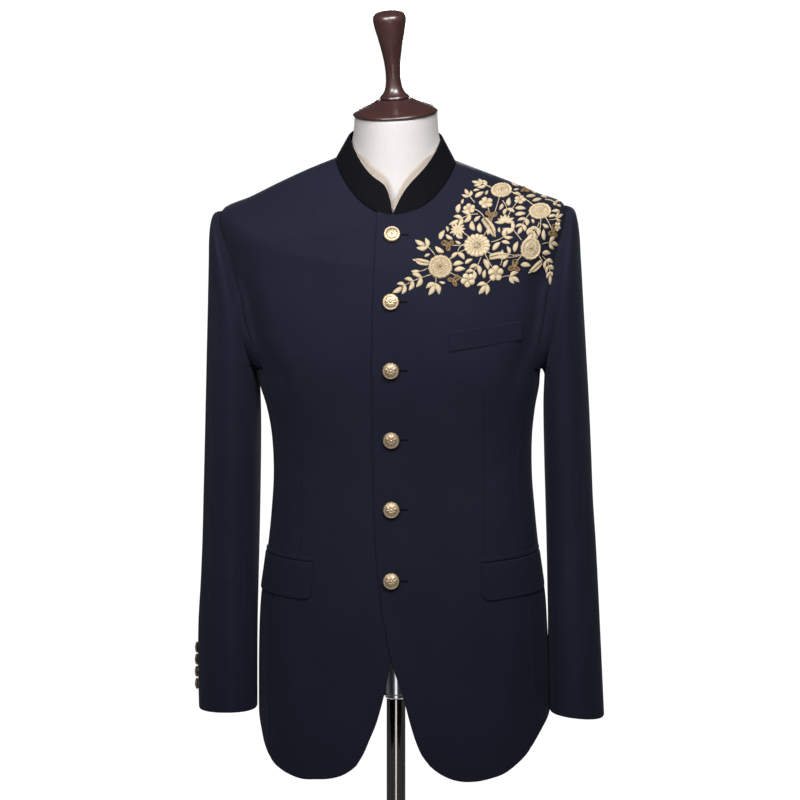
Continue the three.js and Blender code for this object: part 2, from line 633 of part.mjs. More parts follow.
// Buttons: a domed metal face inside a raised rim, on a short shank.
const BUTTON_HEIGHTS = [1340, 1257.5, 1171, 1081, 990.5, 899];
const FRONT_BUTTON = { radius: 10.85, shank: 1.2 };
const CUFF_BUTTON = { radius: 7.5, shank: 2 };
const CUFF_BUTTONS = { count: 4, first: 27, pitch: 15.5 };
const BUTTON_LIFT = 0.5;

// Profile of a button's head in shares of its radius, from the back to the middle of the face.
const BUTTON_HEAD = [
  { out: 0.9, up: 0 },
  { out: 1, up: 0.2 },
  { out: 0.86, up: 0.31 },
  { out: 0.76, up: 0.24 },
  { out: 0, up: 0.44 },
];
const SHANK_SHARE = 0.34;

function buttonGeometry(button, sides) {
  const shankRadius = button.radius * SHANK_SHARE;
  const head = BUTTON_HEAD.map(({ out, up }) =>
    new THREE.Vector2(button.radius * out, button.shank + button.radius * up));
  const foot = [new THREE.Vector2(0, 0), new THREE.Vector2(shankRadius, 0)];
  return new THREE.LatheGeometry([...foot, new THREE.Vector2(shankRadius, button.shank), ...head], sides);
}

function addButton(name, button, place, normal, sides) {
  const mesh = add(name, buttonGeometry(button, sides), "gold_button");
  mesh.quaternion.setFromUnitVectors(new THREE.Vector3(0, 1, 0), normal);
  mesh.position.copy(place).addScaledVector(normal, BUTTON_LIFT);
}

BUTTON_HEIGHTS.forEach((height, i) => {
  const { angle, level } = frontPlace(0, height);
  addButton(`button_${i + 1}`, FRONT_BUTTON, bodyAt(angle, level, LAP_LIFT), bodyNormal(angle, level), 16);
});

for (const [side, word] of [[LEFT, "left"], [RIGHT, "right"]])
  for (let i = 0; i < CUFF_BUTTONS.count; i += 1) {
    const above = CUFF_BUTTONS.first + CUFF_BUTTONS.pitch * i;
    const ring = LAST_RING - above / (SLEEVES[side][11].inZ - SLEEVES[side][12].inZ);
    const turn = radians(sleeveBackSeam(side, ring) + 2);
    const place = sleevePoint(side, ring, turn);
    addButton(`cuff_button_${word}_${i + 1}`, CUFF_BUTTON, place, sleeveNormal(side, ring, turn), 8);
  }

// Embroidered spray on the wearer's left shoulder and chest, thick metal thread over padding.
// Rosettes, small flowers and leafy stems are drawn as seen from the front, joined into one piece
// and laid on the coat. A leaf's length is in millimetres and leafWidth is its share of that.
const SPRAY = { lift: 1.05, thick: 1.3, facet: 15, stemWidth: 3.4, leafWidth: 0.47, leafAngle: 40 };
const ROSETTES = [
  { x: 137, z: 1395, radius: 15 },
  { x: 187, z: 1369, radius: 15.5 },
  { x: 176, z: 1323, radius: 15 },
  { x: 62, z: 1302, radius: 15.5 },
  { x: 108, z: 1328, radius: 17 },
];
const FLOWERS = [
  { x: 132, z: 1293, radius: 10.5, petals: 5 },
  { x: 97, z: 1285, radius: 9.5, petals: 5 },
  { x: 118, z: 1380, radius: 9.5, petals: 5 },
  { x: 161, z: 1383, radius: 8.5, petals: 5 },
  { x: 97, z: 1373, radius: 8, petals: 5 },
  { x: 83, z: 1347, radius: 10.5, petals: 8 },
  { x: 146, z: 1358, radius: 11, petals: 6 },
];
const STEMS = [
  { fromX: 62, fromZ: 1302, bendX: 34, bendZ: 1288, toX: 8, toZ: 1275, pairs: 3, leaf: 15 },
  { fromX: 62, fromZ: 1302, bendX: 84, bendZ: 1322, toX: 108, toZ: 1328, pairs: 1, leaf: 13 },
  { fromX: 62, fromZ: 1302, bendX: 80, bendZ: 1290, toX: 97, toZ: 1285, pairs: 1, leaf: 12 },
  { fromX: 62, fromZ: 1302, bendX: 52, bendZ: 1316, toX: 40, toZ: 1329, pairs: 1, leaf: 13 },
  { fromX: 108, fromZ: 1328, bendX: 96, bendZ: 1342, toX: 83, toZ: 1347, pairs: 0, leaf: 12 },
  { fromX: 83, fromZ: 1347, bendX: 84, bendZ: 1362, toX: 97, toZ: 1373, pairs: 1, leaf: 13 },
  { fromX: 97, fromZ: 1373, bendX: 108, bendZ: 1372, toX: 118, toZ: 1380, pairs: 0, leaf: 12 },
  { fromX: 118, fromZ: 1380, bendX: 124, bendZ: 1392, toX: 137, toZ: 1396, pairs: 0, leaf: 12 },
  { fromX: 137, fromZ: 1396, bendX: 122, bendZ: 1404, toX: 108, toZ: 1403, pairs: 1, leaf: 12 },
  { fromX: 137, fromZ: 1396, bendX: 152, bendZ: 1392, toX: 161, toZ: 1383, pairs: 0, leaf: 12 },
  { fromX: 161, fromZ: 1383, bendX: 174, bendZ: 1378, toX: 187, toZ: 1369, pairs: 0, leaf: 12 },
  { fromX: 108, fromZ: 1328, bendX: 120, bendZ: 1350, toX: 118, toZ: 1380, pairs: 2, leaf: 15 },
  { fromX: 146, fromZ: 1358, bendX: 166, bendZ: 1352, toX: 187, toZ: 1369, pairs: 1, leaf: 13 },
  { fromX: 146, fromZ: 1358, bendX: 144, bendZ: 1340, toX: 176, toZ: 1323, pairs: 2, leaf: 14 },
  { fromX: 187, fromZ: 1369, bendX: 194, bendZ: 1346, toX: 176, toZ: 1323, pairs: 2, leaf: 13 },
  { fromX: 187, fromZ: 1369, bendX: 206, bendZ: 1364, toX: 206, toZ: 1346, pairs: 1, leaf: 10 },
  { fromX: 176, fromZ: 1323, bendX: 200, bendZ: 1310, toX: 200, toZ: 1287, pairs: 2, leaf: 12 },
  { fromX: 108, fromZ: 1328, bendX: 148, bendZ: 1306, toX: 176, toZ: 1323, pairs: 2, leaf: 14 },
  { fromX: 108, fromZ: 1328, bendX: 118, bendZ: 1308, toX: 132, toZ: 1293, pairs: 1, leaf: 13 },
  { fromX: 97, fromZ: 1285, bendX: 100, bendZ: 1302, toX: 108, toZ: 1328, pairs: 1, leaf: 13 },
  { fromX: 132, fromZ: 1293, bendX: 146, bendZ: 1292, toX: 158, toZ: 1294, pairs: 1, leaf: 12 },
  { fromX: 132, fromZ: 1293, bendX: 122, bendZ: 1284, toX: 116, toZ: 1276, pairs: 1, leaf: 11 },
  { fromX: 62, fromZ: 1302, bendX: 58, bendZ: 1288, toX: 56, toZ: 1274, pairs: 1, leaf: 12 },
];

function solidOf(geometry) {
  geometry.deleteAttribute("normal");
  geometry.deleteAttribute("uv");
  const merged = mergeVertices(geometry, 1e-3);
  return new wasm.Manifold(new wasm.Mesh({
    numProp: 3,
    vertProperties: new Float32Array(merged.attributes.position.array),
    triVerts: new Uint32Array(merged.index.array),
  }));
}

// How much a short step across and a short step up shrink when the coat is seen from the front.
function foreshortening(x, z) {
  const step = 3;
  const yAt = (px, pz) => {
    const { angle, level } = frontPlace(px, pz);
    return bodyPoint(angle, level).y;
  };
  const acrossSlope = (yAt(x + step, z) - yAt(x - step, z)) / (2 * step);
  const upSlope = (yAt(x, z + step) - yAt(x, z - step)) / (2 * step);
  return { across: 1 / Math.hypot(1, acrossSlope), up: 1 / Math.hypot(1, upSlope) };
}

// Flat piece of the spray from points around a place.
function motif(x, z, points) {
  const { across, up } = foreshortening(x, z);
  const outline = points.map(([px, pz]) => new THREE.Vector2(x + px * across, z + pz * up));
  const geometry = new THREE.ExtrudeGeometry(new THREE.Shape(outline), { depth: SPRAY.thick, bevelEnabled: false });
  return solidOf(geometry);
}

// Outline of a flower with scalloped petals.
function petals(radius, count, depth) {
  const steps = count * 2;
  return Array.from({ length: steps }, (_, i) => {
    const reach = radius * (i % 2 === 0 ? 1 : 1 - depth);
    const a = (2 * Math.PI * i) / steps;
    return [reach * Math.cos(a), reach * Math.sin(a)];
  });
}

function leaf(direction, length) {
  const shape = [[0, 0], [0.4, -0.5], [1, 0], [0.4, 0.5]];
  const cos = Math.cos(direction);
  const sin = Math.sin(direction);
  return shape.map(([u, v]) => {
    const along = u * length;
    const beside = v * length * SPRAY.leafWidth;
    return [along * cos - beside * sin, along * sin + beside * cos];
  });
}

function stemPieces(stem) {
  const from = new THREE.Vector2(stem.fromX, stem.fromZ);
  const bend = new THREE.Vector2(stem.bendX, stem.bendZ);
  const curve = new THREE.QuadraticBezierCurve(from, bend, new THREE.Vector2(stem.toX, stem.toZ));
  const steps = Math.max(2, Math.round(curve.getLength() / 12));
  const spine = curve.getSpacedPoints(steps);
  const half = SPRAY.stemWidth / 2;
  const edge = (side) => spine.map((p, i) => {
    const t = curve.getTangentAt(i / steps);
    return new THREE.Vector2(p.x - side * t.y * half, p.y + side * t.x * half);
  });
  const outline = [...edge(-1), ...edge(1).reverse()];
  const depth = { depth: SPRAY.thick, bevelEnabled: false };
  const pieces = [solidOf(new THREE.ExtrudeGeometry(new THREE.Shape(outline), depth))];
  for (let i = 1; i <= stem.pairs; i += 1) {
    const share = i / (stem.pairs + 1);
    const p = curve.getPointAt(share);
    const t = curve.getTangentAt(share);
    for (const side of [-1, 1]) {
      const direction = Math.atan2(t.y, t.x) + side * radians(SPRAY.leafAngle);
      pieces.push(motif(p.x, p.y, leaf(direction, stem.leaf)));
    }
  }
  return pieces;
}

// Splits every edge longer than the limit, until none is left, and keeps the solid closed.
function refined(positions, triangles, limit) {
  const points = [...positions];
  let faces = triangles;
  for (let split = true; split; ) {
    split = false;
    const middles = new Map();
    const middle = (a, b) => {
      if (points[a].distanceTo(points[b]) <= limit) return -1;
      const key = a < b ? `${a}_${b}` : `${b}_${a}`;
      if (!middles.has(key)) middles.set(key, points.push(points[a].clone().lerp(points[b], 0.5)) - 1);
      return middles.get(key);
    };
    faces = faces.flatMap(([a, b, c]) => {
      const [ab, bc, ca] = [middle(a, b), middle(b, c), middle(c, a)];
      const count = [ab, bc, ca].filter((m) => m >= 0).length;
      if (count === 0) return [[a, b, c]];
      split = true;
      if (count === 3) return [[a, ab, ca], [ab, b, bc], [ca, bc, c], [ab, bc, ca]];
      if (count === 1) {
        if (ab >= 0) return [[a, ab, c], [ab, b, c]];
        if (bc >= 0) return [[a, b, bc], [a, bc, c]];
        return [[a, b, ca], [ca, b, c]];
      }
      if (ab < 0) return [[a, b, bc], [a, bc, ca], [ca, bc, c]];
      if (bc < 0) return [[a, ab, ca], [ab, b, c], [ab, c, ca]];
      return [[a, ab, bc], [ab, b, bc], [a, bc, c]];
    });
  }
  return { points, faces };
}

function sprayGeometry() {
  const flowers = [
    ...ROSETTES.map((r) => motif(r.x, r.z, petals(r.radius, 7, 0.08))),
    ...FLOWERS.map((f) => motif(f.x, f.z, petals(f.radius, f.petals, 0.38))),
  ];
  let spray = flowers[0];
  for (const piece of [...flowers.slice(1), ...STEMS.flatMap(stemPieces)]) spray = spray.add(piece);
  const mesh = spray.getMesh();
  const flat = Array.from({ length: mesh.numVert }, (_, i) =>
    new THREE.Vector3(...mesh.vertProperties.slice(i * mesh.numProp, i * mesh.numProp + 3)));
  const triangles = Array.from({ length: mesh.numTri }, (_, i) => Array.from(mesh.triVerts.slice(3 * i, 3 * i + 3)));
  const { points, faces } = refined(flat, triangles, SPRAY.facet);
  const laid = points.flatMap((p) => {
    const { angle, level } = frontPlace(p.x, p.y);
    return bodyAt(angle, level, SPRAY.lift + p.z + lapLift(p.x)).toArray();
  });
  const geometry = new THREE.BufferGeometry();
  geometry.setAttribute("position", new THREE.Float32BufferAttribute(laid, 3));
  geometry.setIndex(faces.flat());
  return geometry;
}

add("shoulder_embroidery", sprayGeometry(), "gold_thread");

// Dress form: the same rings as the coat, moved in, with flat ends where the arms would be, and a
// neck that leans forward. It touches nothing, and the coat rests on its shoulders.
const FORM_BOTTOM = 800;
const FORM_LEVELS = [800, 812, 850, 900, 955, 1010, 1065, 1115, 1165, 1208, 1256, 1306, 1330, 1350, 1370,
  1390, 1410, 1430, 1450, 1470];
const FORM_INSET = [
  { level: 800, inset: 16 },
  { level: 840, inset: 9 },
  { level: 1000, inset: 7 },
  { level: 1165, inset: 7 },
  { level: 1306, inset: 6 },
  { level: 1350, inset: 5 },
  { level: 1370, inset: 3.4 },
  { level: 1390, inset: 2.7 },
  { level: 1470, inset: 2.7 },
];
const FORM_ARM_END = [
  { level: 800, right: 240, left: 240 },
  { level: 1120, right: 200, left: 200 },
  { level: 1165, right: 167, left: 177 },
  { level: 1208, right: 175, left: 181 },
  { level: 1256, right: 189, left: 191 },
  { level: 1306, right: 205, left: 201 },
  { level: 1350, right: 215, left: 208 },
  { level: 1367, right: 240, left: 240 },
  { level: 1470, right: 240, left: 240 },
];
const FORM_NECK = [
  { half: 72, front: 71, back: 56.5, side: 1429.5, lean: -3, drop: 64, rise: 14, fall: 1.6 },
  { half: 62.5, front: 61, back: 50, side: 1444.5, lean: -2, drop: 61, rise: 14, fall: 1.6 },
  { half: 56.2, front: 57, back: 46.5, side: 1461, lean: 0.5, drop: 50, rise: 13, fall: 1.5 },
  { half: 54.3, front: 58, back: 44, side: 1476, lean: 1.4, drop: 30, rise: 10, fall: 1.2 },
  { half: 53.4, front: 62, back: 43, side: 1493.5, lean: 3, drop: 9.2, rise: 6.4, fall: 1 },
];
const FORM_SIDES = 40;

function formRing(level) {
  const inset = along(FORM_INSET, "level", level, "inset");
  return Array.from({ length: FORM_SIDES }, (_, i) => {
    const angle = (360 * i) / FORM_SIDES - 180;
    const p = bodyAt(angle, level, -inset);
    const end = straight(FORM_ARM_END, "level", level, p.x < 0 ? "right" : "left");
    p.x = clamp(p.x, -end, end);
    if (level === FORM_BOTTOM) p.z = level;
    return p;
  });
}

function neckRing(row) {
  return Array.from({ length: FORM_SIDES }, (_, i) => {
    const a = radians((360 * i) / FORM_SIDES - 180);
    const cos = Math.cos(a);
    const fall = Math.abs(cos) ** row.fall * (cos > 0 ? -row.drop : row.rise);
    const y = -cos * (cos > 0 ? row.front : row.back);
    return new THREE.Vector3(row.half * Math.sin(a), y, row.side + row.lean * Math.sin(a) + fall);
  });
}

add("dress_form", stack([...FORM_LEVELS.map(formRing), ...FORM_NECK.map(neckRing)]), "form_linen");

// Turned wooden neck cap and its knob, square to the neck's leaning top.
const NECK_TOP = { y: -10, z: 1492 };
const NECK_AXIS = new THREE.Vector3(-0.056, -0.148, 0.987).normalize();
const CAP_PROFILE = [
  [0, 0.4], [52.5, 0.4], [54.6, 1.4], [55, 3], [54.2, 4.8], [50.5, 7.6], [43, 11.2], [34, 14.6], [27, 17.8],
  [23, 20.2], [0, 20.2],
];
const KNOB_PROFILE = [
  [0, 20.5], [18.2, 20.5], [19.3, 22.2], [18.4, 24.4], [15.6, 27], [12.4, 32], [10.6, 39], [9.6, 49],
  [9.9, 59], [10.8, 69], [12.5, 79], [14.6, 90], [17.1, 101], [19.6, 111.5], [21.3, 120], [21.7, 125],
  [20.2, 129.4], [15.5, 132.6], [8, 134.4], [0, 135],
];

function addTurned(name, profile, material, sides, origin, axis) {
  const points = profile.map(([x, y]) => new THREE.Vector2(x, y));
  const mesh = add(name, new THREE.LatheGeometry(points, sides), material);
  mesh.quaternion.setFromUnitVectors(new THREE.Vector3(0, 1, 0), axis);
  mesh.position.copy(origin);
}

const neckTop = new THREE.Vector3(0, NECK_TOP.y, NECK_TOP.z);
addTurned("neck_cap", CAP_PROFILE, "dark_wood", 28, neckTop, NECK_AXIS);
addTurned("cap_knob", KNOB_PROFILE, "dark_wood", 14, neckTop, NECK_AXIS);

// Stand: a bright ferrule under the form, a steel pole, and a round weighted base with a hub.
const FERRULE = { radius: 14, length: 72 };
const POLE_RADIUS = 12.3;
const BASE = { radius: 180, edge: 6, height: 12, hubRadius: 26, hubHeight: 34 };
const STAND_GAP = 0.3;
const upright = new THREE.Vector3(0, 0, 1);
const floor = new THREE.Vector3(0, 0, 0);
const ferruleLow = FORM_BOTTOM - FERRULE.length;
addTurned("ferrule", [
  [0, ferruleLow], [FERRULE.radius, ferruleLow], [FERRULE.radius, FORM_BOTTOM - STAND_GAP],
  [0, FORM_BOTTOM - STAND_GAP],
], "steel", 24, floor, upright);
addTurned("pole", [
  [0, BASE.hubHeight + STAND_GAP], [POLE_RADIUS, BASE.hubHeight + STAND_GAP],
  [POLE_RADIUS, ferruleLow - STAND_GAP], [0, ferruleLow - STAND_GAP],
], "steel", 24, floor, upright);
addTurned("base", [
  [0, 0], [BASE.radius - 2, 0], [BASE.radius, 2], [BASE.radius, BASE.edge], [BASE.radius - 4, BASE.edge + 2],
  [BASE.hubRadius + 30, BASE.height], [BASE.hubRadius + 4, BASE.height + 3], [BASE.hubRadius, BASE.height + 7],
  [BASE.hubRadius, BASE.hubHeight - 3], [BASE.hubRadius - 3, BASE.hubHeight], [0, BASE.hubHeight],
], "steel", 32, floor, upright);

export default part;
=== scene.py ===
# A men's high-buttoned wedding coat on a limbless dress form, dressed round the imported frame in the
# order in which it is put together. Lengths are in millimetres until a mesh is made, and angles on
# the coat are in degrees from centre front, positive towards the wearer's left.
import bpy
import math
import numpy as np
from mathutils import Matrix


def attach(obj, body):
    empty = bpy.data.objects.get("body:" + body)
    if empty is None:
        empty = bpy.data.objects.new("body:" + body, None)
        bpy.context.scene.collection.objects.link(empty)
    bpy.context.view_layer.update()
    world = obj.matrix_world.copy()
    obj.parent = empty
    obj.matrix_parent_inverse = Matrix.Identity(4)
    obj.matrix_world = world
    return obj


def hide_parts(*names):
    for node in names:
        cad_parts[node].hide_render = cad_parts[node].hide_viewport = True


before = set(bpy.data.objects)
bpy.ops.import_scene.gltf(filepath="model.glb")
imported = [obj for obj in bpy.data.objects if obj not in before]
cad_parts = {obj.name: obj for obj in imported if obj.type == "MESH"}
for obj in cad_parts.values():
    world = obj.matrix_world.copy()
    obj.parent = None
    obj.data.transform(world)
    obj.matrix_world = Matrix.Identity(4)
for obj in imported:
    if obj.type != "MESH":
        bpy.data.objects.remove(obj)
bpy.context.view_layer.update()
scene = bpy.context.scene

# Camera. The picture is taken with a long lens, a little from above and from the wearer's left, and
# the whole coat fills it. One pixel is 1.3 mm at the pole.
CAMERA_DISTANCE = 5500
CAMERA_PITCH = math.radians(6)
CAMERA_TURN = math.radians(3)
AIM_HEIGHT = 1120
PIXEL_SIZE = 1.3
PICTURE_PIXELS = 800
SENSOR = 36
AIM_COLUMN = 396

back_way = np.array([
    math.sin(CAMERA_TURN) * math.cos(CAMERA_PITCH),
    -math.cos(CAMERA_TURN) * math.cos(CAMERA_PITCH),
    math.sin(CAMERA_PITCH),
])
camera = bpy.data.objects.new("camera", bpy.data.cameras.new("camera"))
scene.collection.objects.link(camera)
camera.location = (np.array([0, 0, AIM_HEIGHT]) + CAMERA_DISTANCE * back_way) / 1000
camera.rotation_euler = (math.pi / 2 - CAMERA_PITCH, 0, CAMERA_TURN)
camera.data.sensor_width = SENSOR
camera.data.lens = SENSOR * CAMERA_DISTANCE / PIXEL_SIZE / PICTURE_PIXELS
camera.data.shift_x = (PICTURE_PIXELS / 2 - AIM_COLUMN) / PICTURE_PIXELS
scene.camera = camera

# Studio. Soft lights hang in front and above, so that the chest is lighter than the hem. A low one
# shows in the steel, and one behind lights the coat's back. The surroundings are white, but shine on
# the object only weakly, which keeps dark edges in the steel.
scene.view_settings.view_transform = "Standard"
LIGHTS = [
    # name, place (m), aimed at (m), width (m), height (m), power (W), spread (degrees)
    ("key", (0.55, -1.5, 2.6), (0, 0, 1.75), 1.2, 0.9, 18, 88),
    ("fill", (-0.7, -1.7, 2.3), (0, 0, 1.7), 1.0, 0.8, 11, 88),
    ("low", (0.22, -3.0, 0.45), (0, 0, 0.6), 0.7, 1.1, 7, 180),
    ("behind", (0, 2.8, 1.85), (0, 0, 1.15), 1.6, 0.8, 70, 180),
]
SURROUND_SHINE = 0.08
WALL_SHINE = 1.05
FLOOR = {"radius": 2.4, "white": 0.86, "roughness": 0.7}

for name, place, aim, width, height, power, spread in LIGHTS:
    light = bpy.data.objects.new(name, bpy.data.lights.new(name, "AREA"))
    light.data.shape = "RECTANGLE"
    light.data.size = width
    light.data.size_y = height
    light.data.energy = power
    light.data.spread = math.radians(spread)
    light.location = place
    towards = np.array(aim) - np.array(place)
    flat = math.hypot(towards[0], towards[1])
    light.rotation_euler = (math.atan2(flat, -towards[2]), 0, math.atan2(-towards[0], towards[1]))
    scene.collection.objects.link(light)

world = bpy.data.worlds.new("white_studio")
scene.world = world
world.use_nodes = True
nodes, links = world.node_tree.nodes, world.node_tree.links
surround, wall = nodes["Background"], nodes.new("ShaderNodeBackground")
ray, seen_or_lit = nodes.new("ShaderNodeLightPath"), nodes.new("ShaderNodeMixShader")
links.new(ray.outputs["Is Camera Ray"], seen_or_lit.inputs[0])
for i, (background, strength) in enumerate([(surround, SURROUND_SHINE), (wall, WALL_SHINE)]):
    background.inputs["Color"].default_value = (1, 1, 1, 1)
    background.inputs["Strength"].default_value = strength
    links.new(background.outputs[0], seen_or_lit.inputs[i + 1])
links.new(seen_or_lit.outputs[0], nodes["World Output"].inputs[0])

bpy.ops.mesh.primitive_circle_add(vertices=96, radius=FLOOR["radius"], fill_type="NGON")
floor = bpy.context.object
floor.name = "floor"
floor_paint = bpy.data.materials.new("pale_floor")
floor_paint.use_nodes = True
floor_shader = floor_paint.node_tree.nodes["Principled BSDF"]
floor_shader.inputs["Base Color"].default_value = (FLOOR["white"], FLOOR["white"], FLOOR["white"], 1)
floor_shader.inputs["Roughness"].default_value = FLOOR["roughness"]
floor.data.materials.append(floor_paint)


class Wire:
    """One output of a shader node. Adding, multiplying and so on put Math nodes behind it."""

    def __init__(self, finish, socket):
        self.finish = finish
        self.socket = socket

    def math(self, operation, *others):
        inputs = dict(enumerate((self, *others)))
        return self.finish.node("ShaderNodeMath", {"operation": operation}, inputs)

    def __add__(self, other):
        return self.math("ADD", other)

    def __sub__(self, other):
        return self.math("SUBTRACT", other)

    def __mul__(self, other):
        return self.math("MULTIPLY", other)

    def __rsub__(self, other):
        return (self * -1) + other

    __radd__ = __add__
    __rmul__ = __mul__


class Finish:
    """A material with one Principled shader. Constants are set on the shader's own sockets."""

    def __init__(self, name, constants):
        self.material = bpy.data.materials.new(name)
        self.material.use_nodes = True
        self.tree = self.material.node_tree
        self.shader = self.tree.nodes["Principled BSDF"]
        for socket, value in constants.items():
            self.shader.inputs[socket].default_value = value

    def node(self, kind, settings=None, sockets=None, output=0):
        made = self.tree.nodes.new(kind)
        for key, value in (settings or {}).items():
            setattr(made, key, value)
        for key, value in (sockets or {}).items():
            if isinstance(value, Wire):
                self.tree.links.new(value.socket, made.inputs[key])
            else:
                made.inputs[key].default_value = value
        return Wire(self, made.outputs[output])

    def mix(self, factor, first, second):
        sockets = {0: factor, 6: first, 7: second}
        return self.node("ShaderNodeMix", {"data_type": "RGBA"}, sockets, 2)

    def noise(self, where, scale, detail=2.0, roughness=0.5):
        sockets = {"Vector": where, "Scale": scale, "Detail": detail, "Roughness": roughness}
        return self.node("ShaderNodeTexNoise", {}, sockets)

    def parts(self, vector):
        """The x and y of a vector, as two values."""
        return [self.node("ShaderNodeSeparateXYZ", {}, {0: vector}, axis) for axis in (0, 1)]

    def scaled(self, vector, factors):
        return self.node("ShaderNodeVectorMath", {"operation": "MULTIPLY"}, {0: vector, 1: factors})

    def bump(self, height, distance, strength=1.0):
        """Raises the surface by this height, in metres, and gives the new normal to the shader."""
        sockets = {"Height": height, "Distance": distance, "Strength": strength}
        self.feed("Normal", self.node("ShaderNodeBump", {}, sockets))

    def feed(self, socket, wire):
        self.tree.links.new(wire.socket, self.shader.inputs[socket])

    def place_on_cloth(self):
        """Where a point lies on the flat cloth, in metres across and along it."""
        return self.node("ShaderNodeTexCoord", {}, {}, "UV")

    def place_in_space(self):
        return self.node("ShaderNodeTexCoord", {}, {}, "Object")


# Coat cloth: a dark navy worsted wool in a fine twill, matt with a soft bloom. Every panel is cut
# from it. Twill lines run up to the right, threads vary in thickness, and the dye is a little
# uneven, as on any piece-dyed cloth.
TWILL_PITCH = 0.0009


def wool(name, dark, light, sheen):
    cloth = Finish(name, {
        "Specular IOR Level": 0.07,
        "Sheen Weight": sheen,
        "Sheen Roughness": 0.45,
        "Sheen Tint": (0.72, 0.78, 1.0, 1.0),
    })
    where = cloth.place_on_cloth()
    across, up = cloth.parts(where)
    twill = ((across + up * 0.8) * (math.tau / TWILL_PITCH)).math("SINE") * 0.5 + 0.5
    threads = cloth.noise(cloth.scaled(where, (1.0, 0.3, 1.0)), 1500, 2)
    fibres = cloth.noise(where, 420, 3, 0.7)
    dye = cloth.noise(where, 9, 2)
    tone = fibres * 0.75 + dye * 0.5 - 0.12
    cloth.feed("Base Color", cloth.mix(tone, dark, light))
    cloth.feed("Roughness", 0.9 - fibres * 0.22)
    cloth.bump(twill * 0.5 + threads * 0.6 + fibres * 0.5, 0.00022, 0.8)
    return cloth.material


navy_wool = wool("navy_wool", (0.004, 0.0044, 0.0098, 1), (0.0112, 0.0121, 0.0242, 1), 0.03)
# The collar's copy of the wool has painted shade: its colours are about four times darker.
collar_wool = wool("collar_wool", (0.001, 0.001, 0.0018, 1), (0.003, 0.003, 0.005, 1), 0.01)


# Shape of the coat's body, as rings from the hem to the neckline. Up to the underarm a ring is
# level. Above it the ring climbs to the shoulders: side is its height there, and drop and rise say
# how far its front lies below and its back above that.
def neighbours(count):
    """For each of so many knots, the one before it and the one after it."""
    knots = np.arange(count)
    return np.maximum(knots - 1, 0), np.minimum(knots + 1, count - 1)


def on_curve(t, width, first, last, first_slope, last_slope):
    """The value at share t of a smooth curve between two knots."""
    return (
        (2 * t**3 - 3 * t**2 + 1) * first
        + (t**3 - 2 * t**2 + t) * width * first_slope
        + (3 * t**2 - 2 * t**3) * last
        + (t**3 - t**2) * width * last_slope
    )


class Table:
    """A short table with named columns, read on a smooth curve through its rows."""

    def __init__(self, names, rows):
        self.rows = {name: np.array([row[i] for row in rows], float) for i, name in enumerate(names)}
        self.key = self.rows[names[0]]

    def at(self, name, where):
        values, key = self.rows[name], self.key
        low, high = neighbours(len(key))
        slope = (values[high] - values[low]) / (key[high] - key[low])
        i = np.clip(np.searchsorted(key, where, side="right") - 1, 0, len(key) - 2)
        width = key[i + 1] - key[i]
        t = np.clip((where - key[i]) / width, 0, 1)
        return on_curve(t, width, values[i], values[i + 1], slope[i], slope[i + 1])

    def straight(self, name, where):
        return np.interp(where, self.key, self.rows[name])


BODY = Table(
    ("level", "side", "lean", "drop", "rise", "front", "back", "right", "left", "square"),
    [
        (600, 600, 0, 0, 0, 119, 128, 179.5, 199, 2.4),
        (700, 700, 0, 0, 0, 117, 127, 179.5, 199, 2.4),
        (800, 800, 0, 0, 0, 115, 124, 179, 198, 2.4),
        (860, 860, 0, 0, 0, 113, 121, 176.5, 195.5, 2.4),
        (900, 900, 0, 0, 0, 112, 117, 171, 190, 2.45),
        (937, 937, 0, 0, 0, 110, 112, 166, 185, 2.5),
        (976, 976, 0, 0, 0, 109, 106, 162, 181, 2.5),
        (1025, 1025, 0, 0, 0, 109, 100, 159, 177, 2.5),
        (1074, 1074, 0, 0, 0, 112, 99, 161, 177, 2.5),
        (1113, 1113, 0, 0, 0, 117, 102, 167, 181, 2.6),
        (1140, 1140, 0, 0, 0, 121, 105, 172, 186, 2.7),
        (1165, 1165, 0, 0, 0, 124, 108, 177, 189, 2.75),
        (1208, 1212, 1, 12, 10, 126, 113, 208, 212, 2.3),
        (1256, 1268, 2, 30, 12, 125, 117, 220, 220, 2.2),
        (1306, 1322, 3, 50, 8, 120, 116, 224, 220, 2.2),
        (1350, 1370, 4, 66, 4, 111, 108, 226, 218, 2.2),
        (1380, 1387, 2.5, 68, 6, 104, 100, 188, 183, 2.15),
        (1410, 1403, 0.5, 69, 9, 96, 90, 152, 149, 2.1),
        (1440, 1418, -1.5, 69, 12, 88, 77, 115, 113, 2.05),
        (1470, 1431, -3, 67, 15, 78, 62, 78, 78, 2),
    ],
)
FRONT_FALL = 1.6
HEM_LEVEL = 600
ARMPIT = 1165
SHOULDER = 1350
NECKLINE = 1470
RIGHT, LEFT = -1, 1
SIDES = ((LEFT, "left"), (RIGHT, "right"))


def signed_power(value, power):
    return np.sign(value) * np.abs(value) ** power


def body_point(angle, level):
    """Points of the coat's outside at these angles and ring levels."""
    turn = np.radians(angle)
    sin, cos = np.sin(turn), np.cos(turn)
    power = 2 / BODY.at("square", level)
    half = np.where(sin < 0, BODY.at("right", level), BODY.at("left", level))
    depth = np.where(cos > 0, BODY.at("front", level), BODY.at("back", level))
    climb = np.where(cos > 0, -BODY.at("drop", level), BODY.at("rise", level))
    height = BODY.at("side", level) + BODY.at("lean", level) * sin + climb * np.abs(cos) ** FRONT_FALL
    return np.stack([half * signed_power(sin, power), -depth * signed_power(cos, power), height], -1)


def unit(vectors):
    return vectors / np.maximum(np.linalg.norm(vectors, axis=-1, keepdims=True), 1e-9)


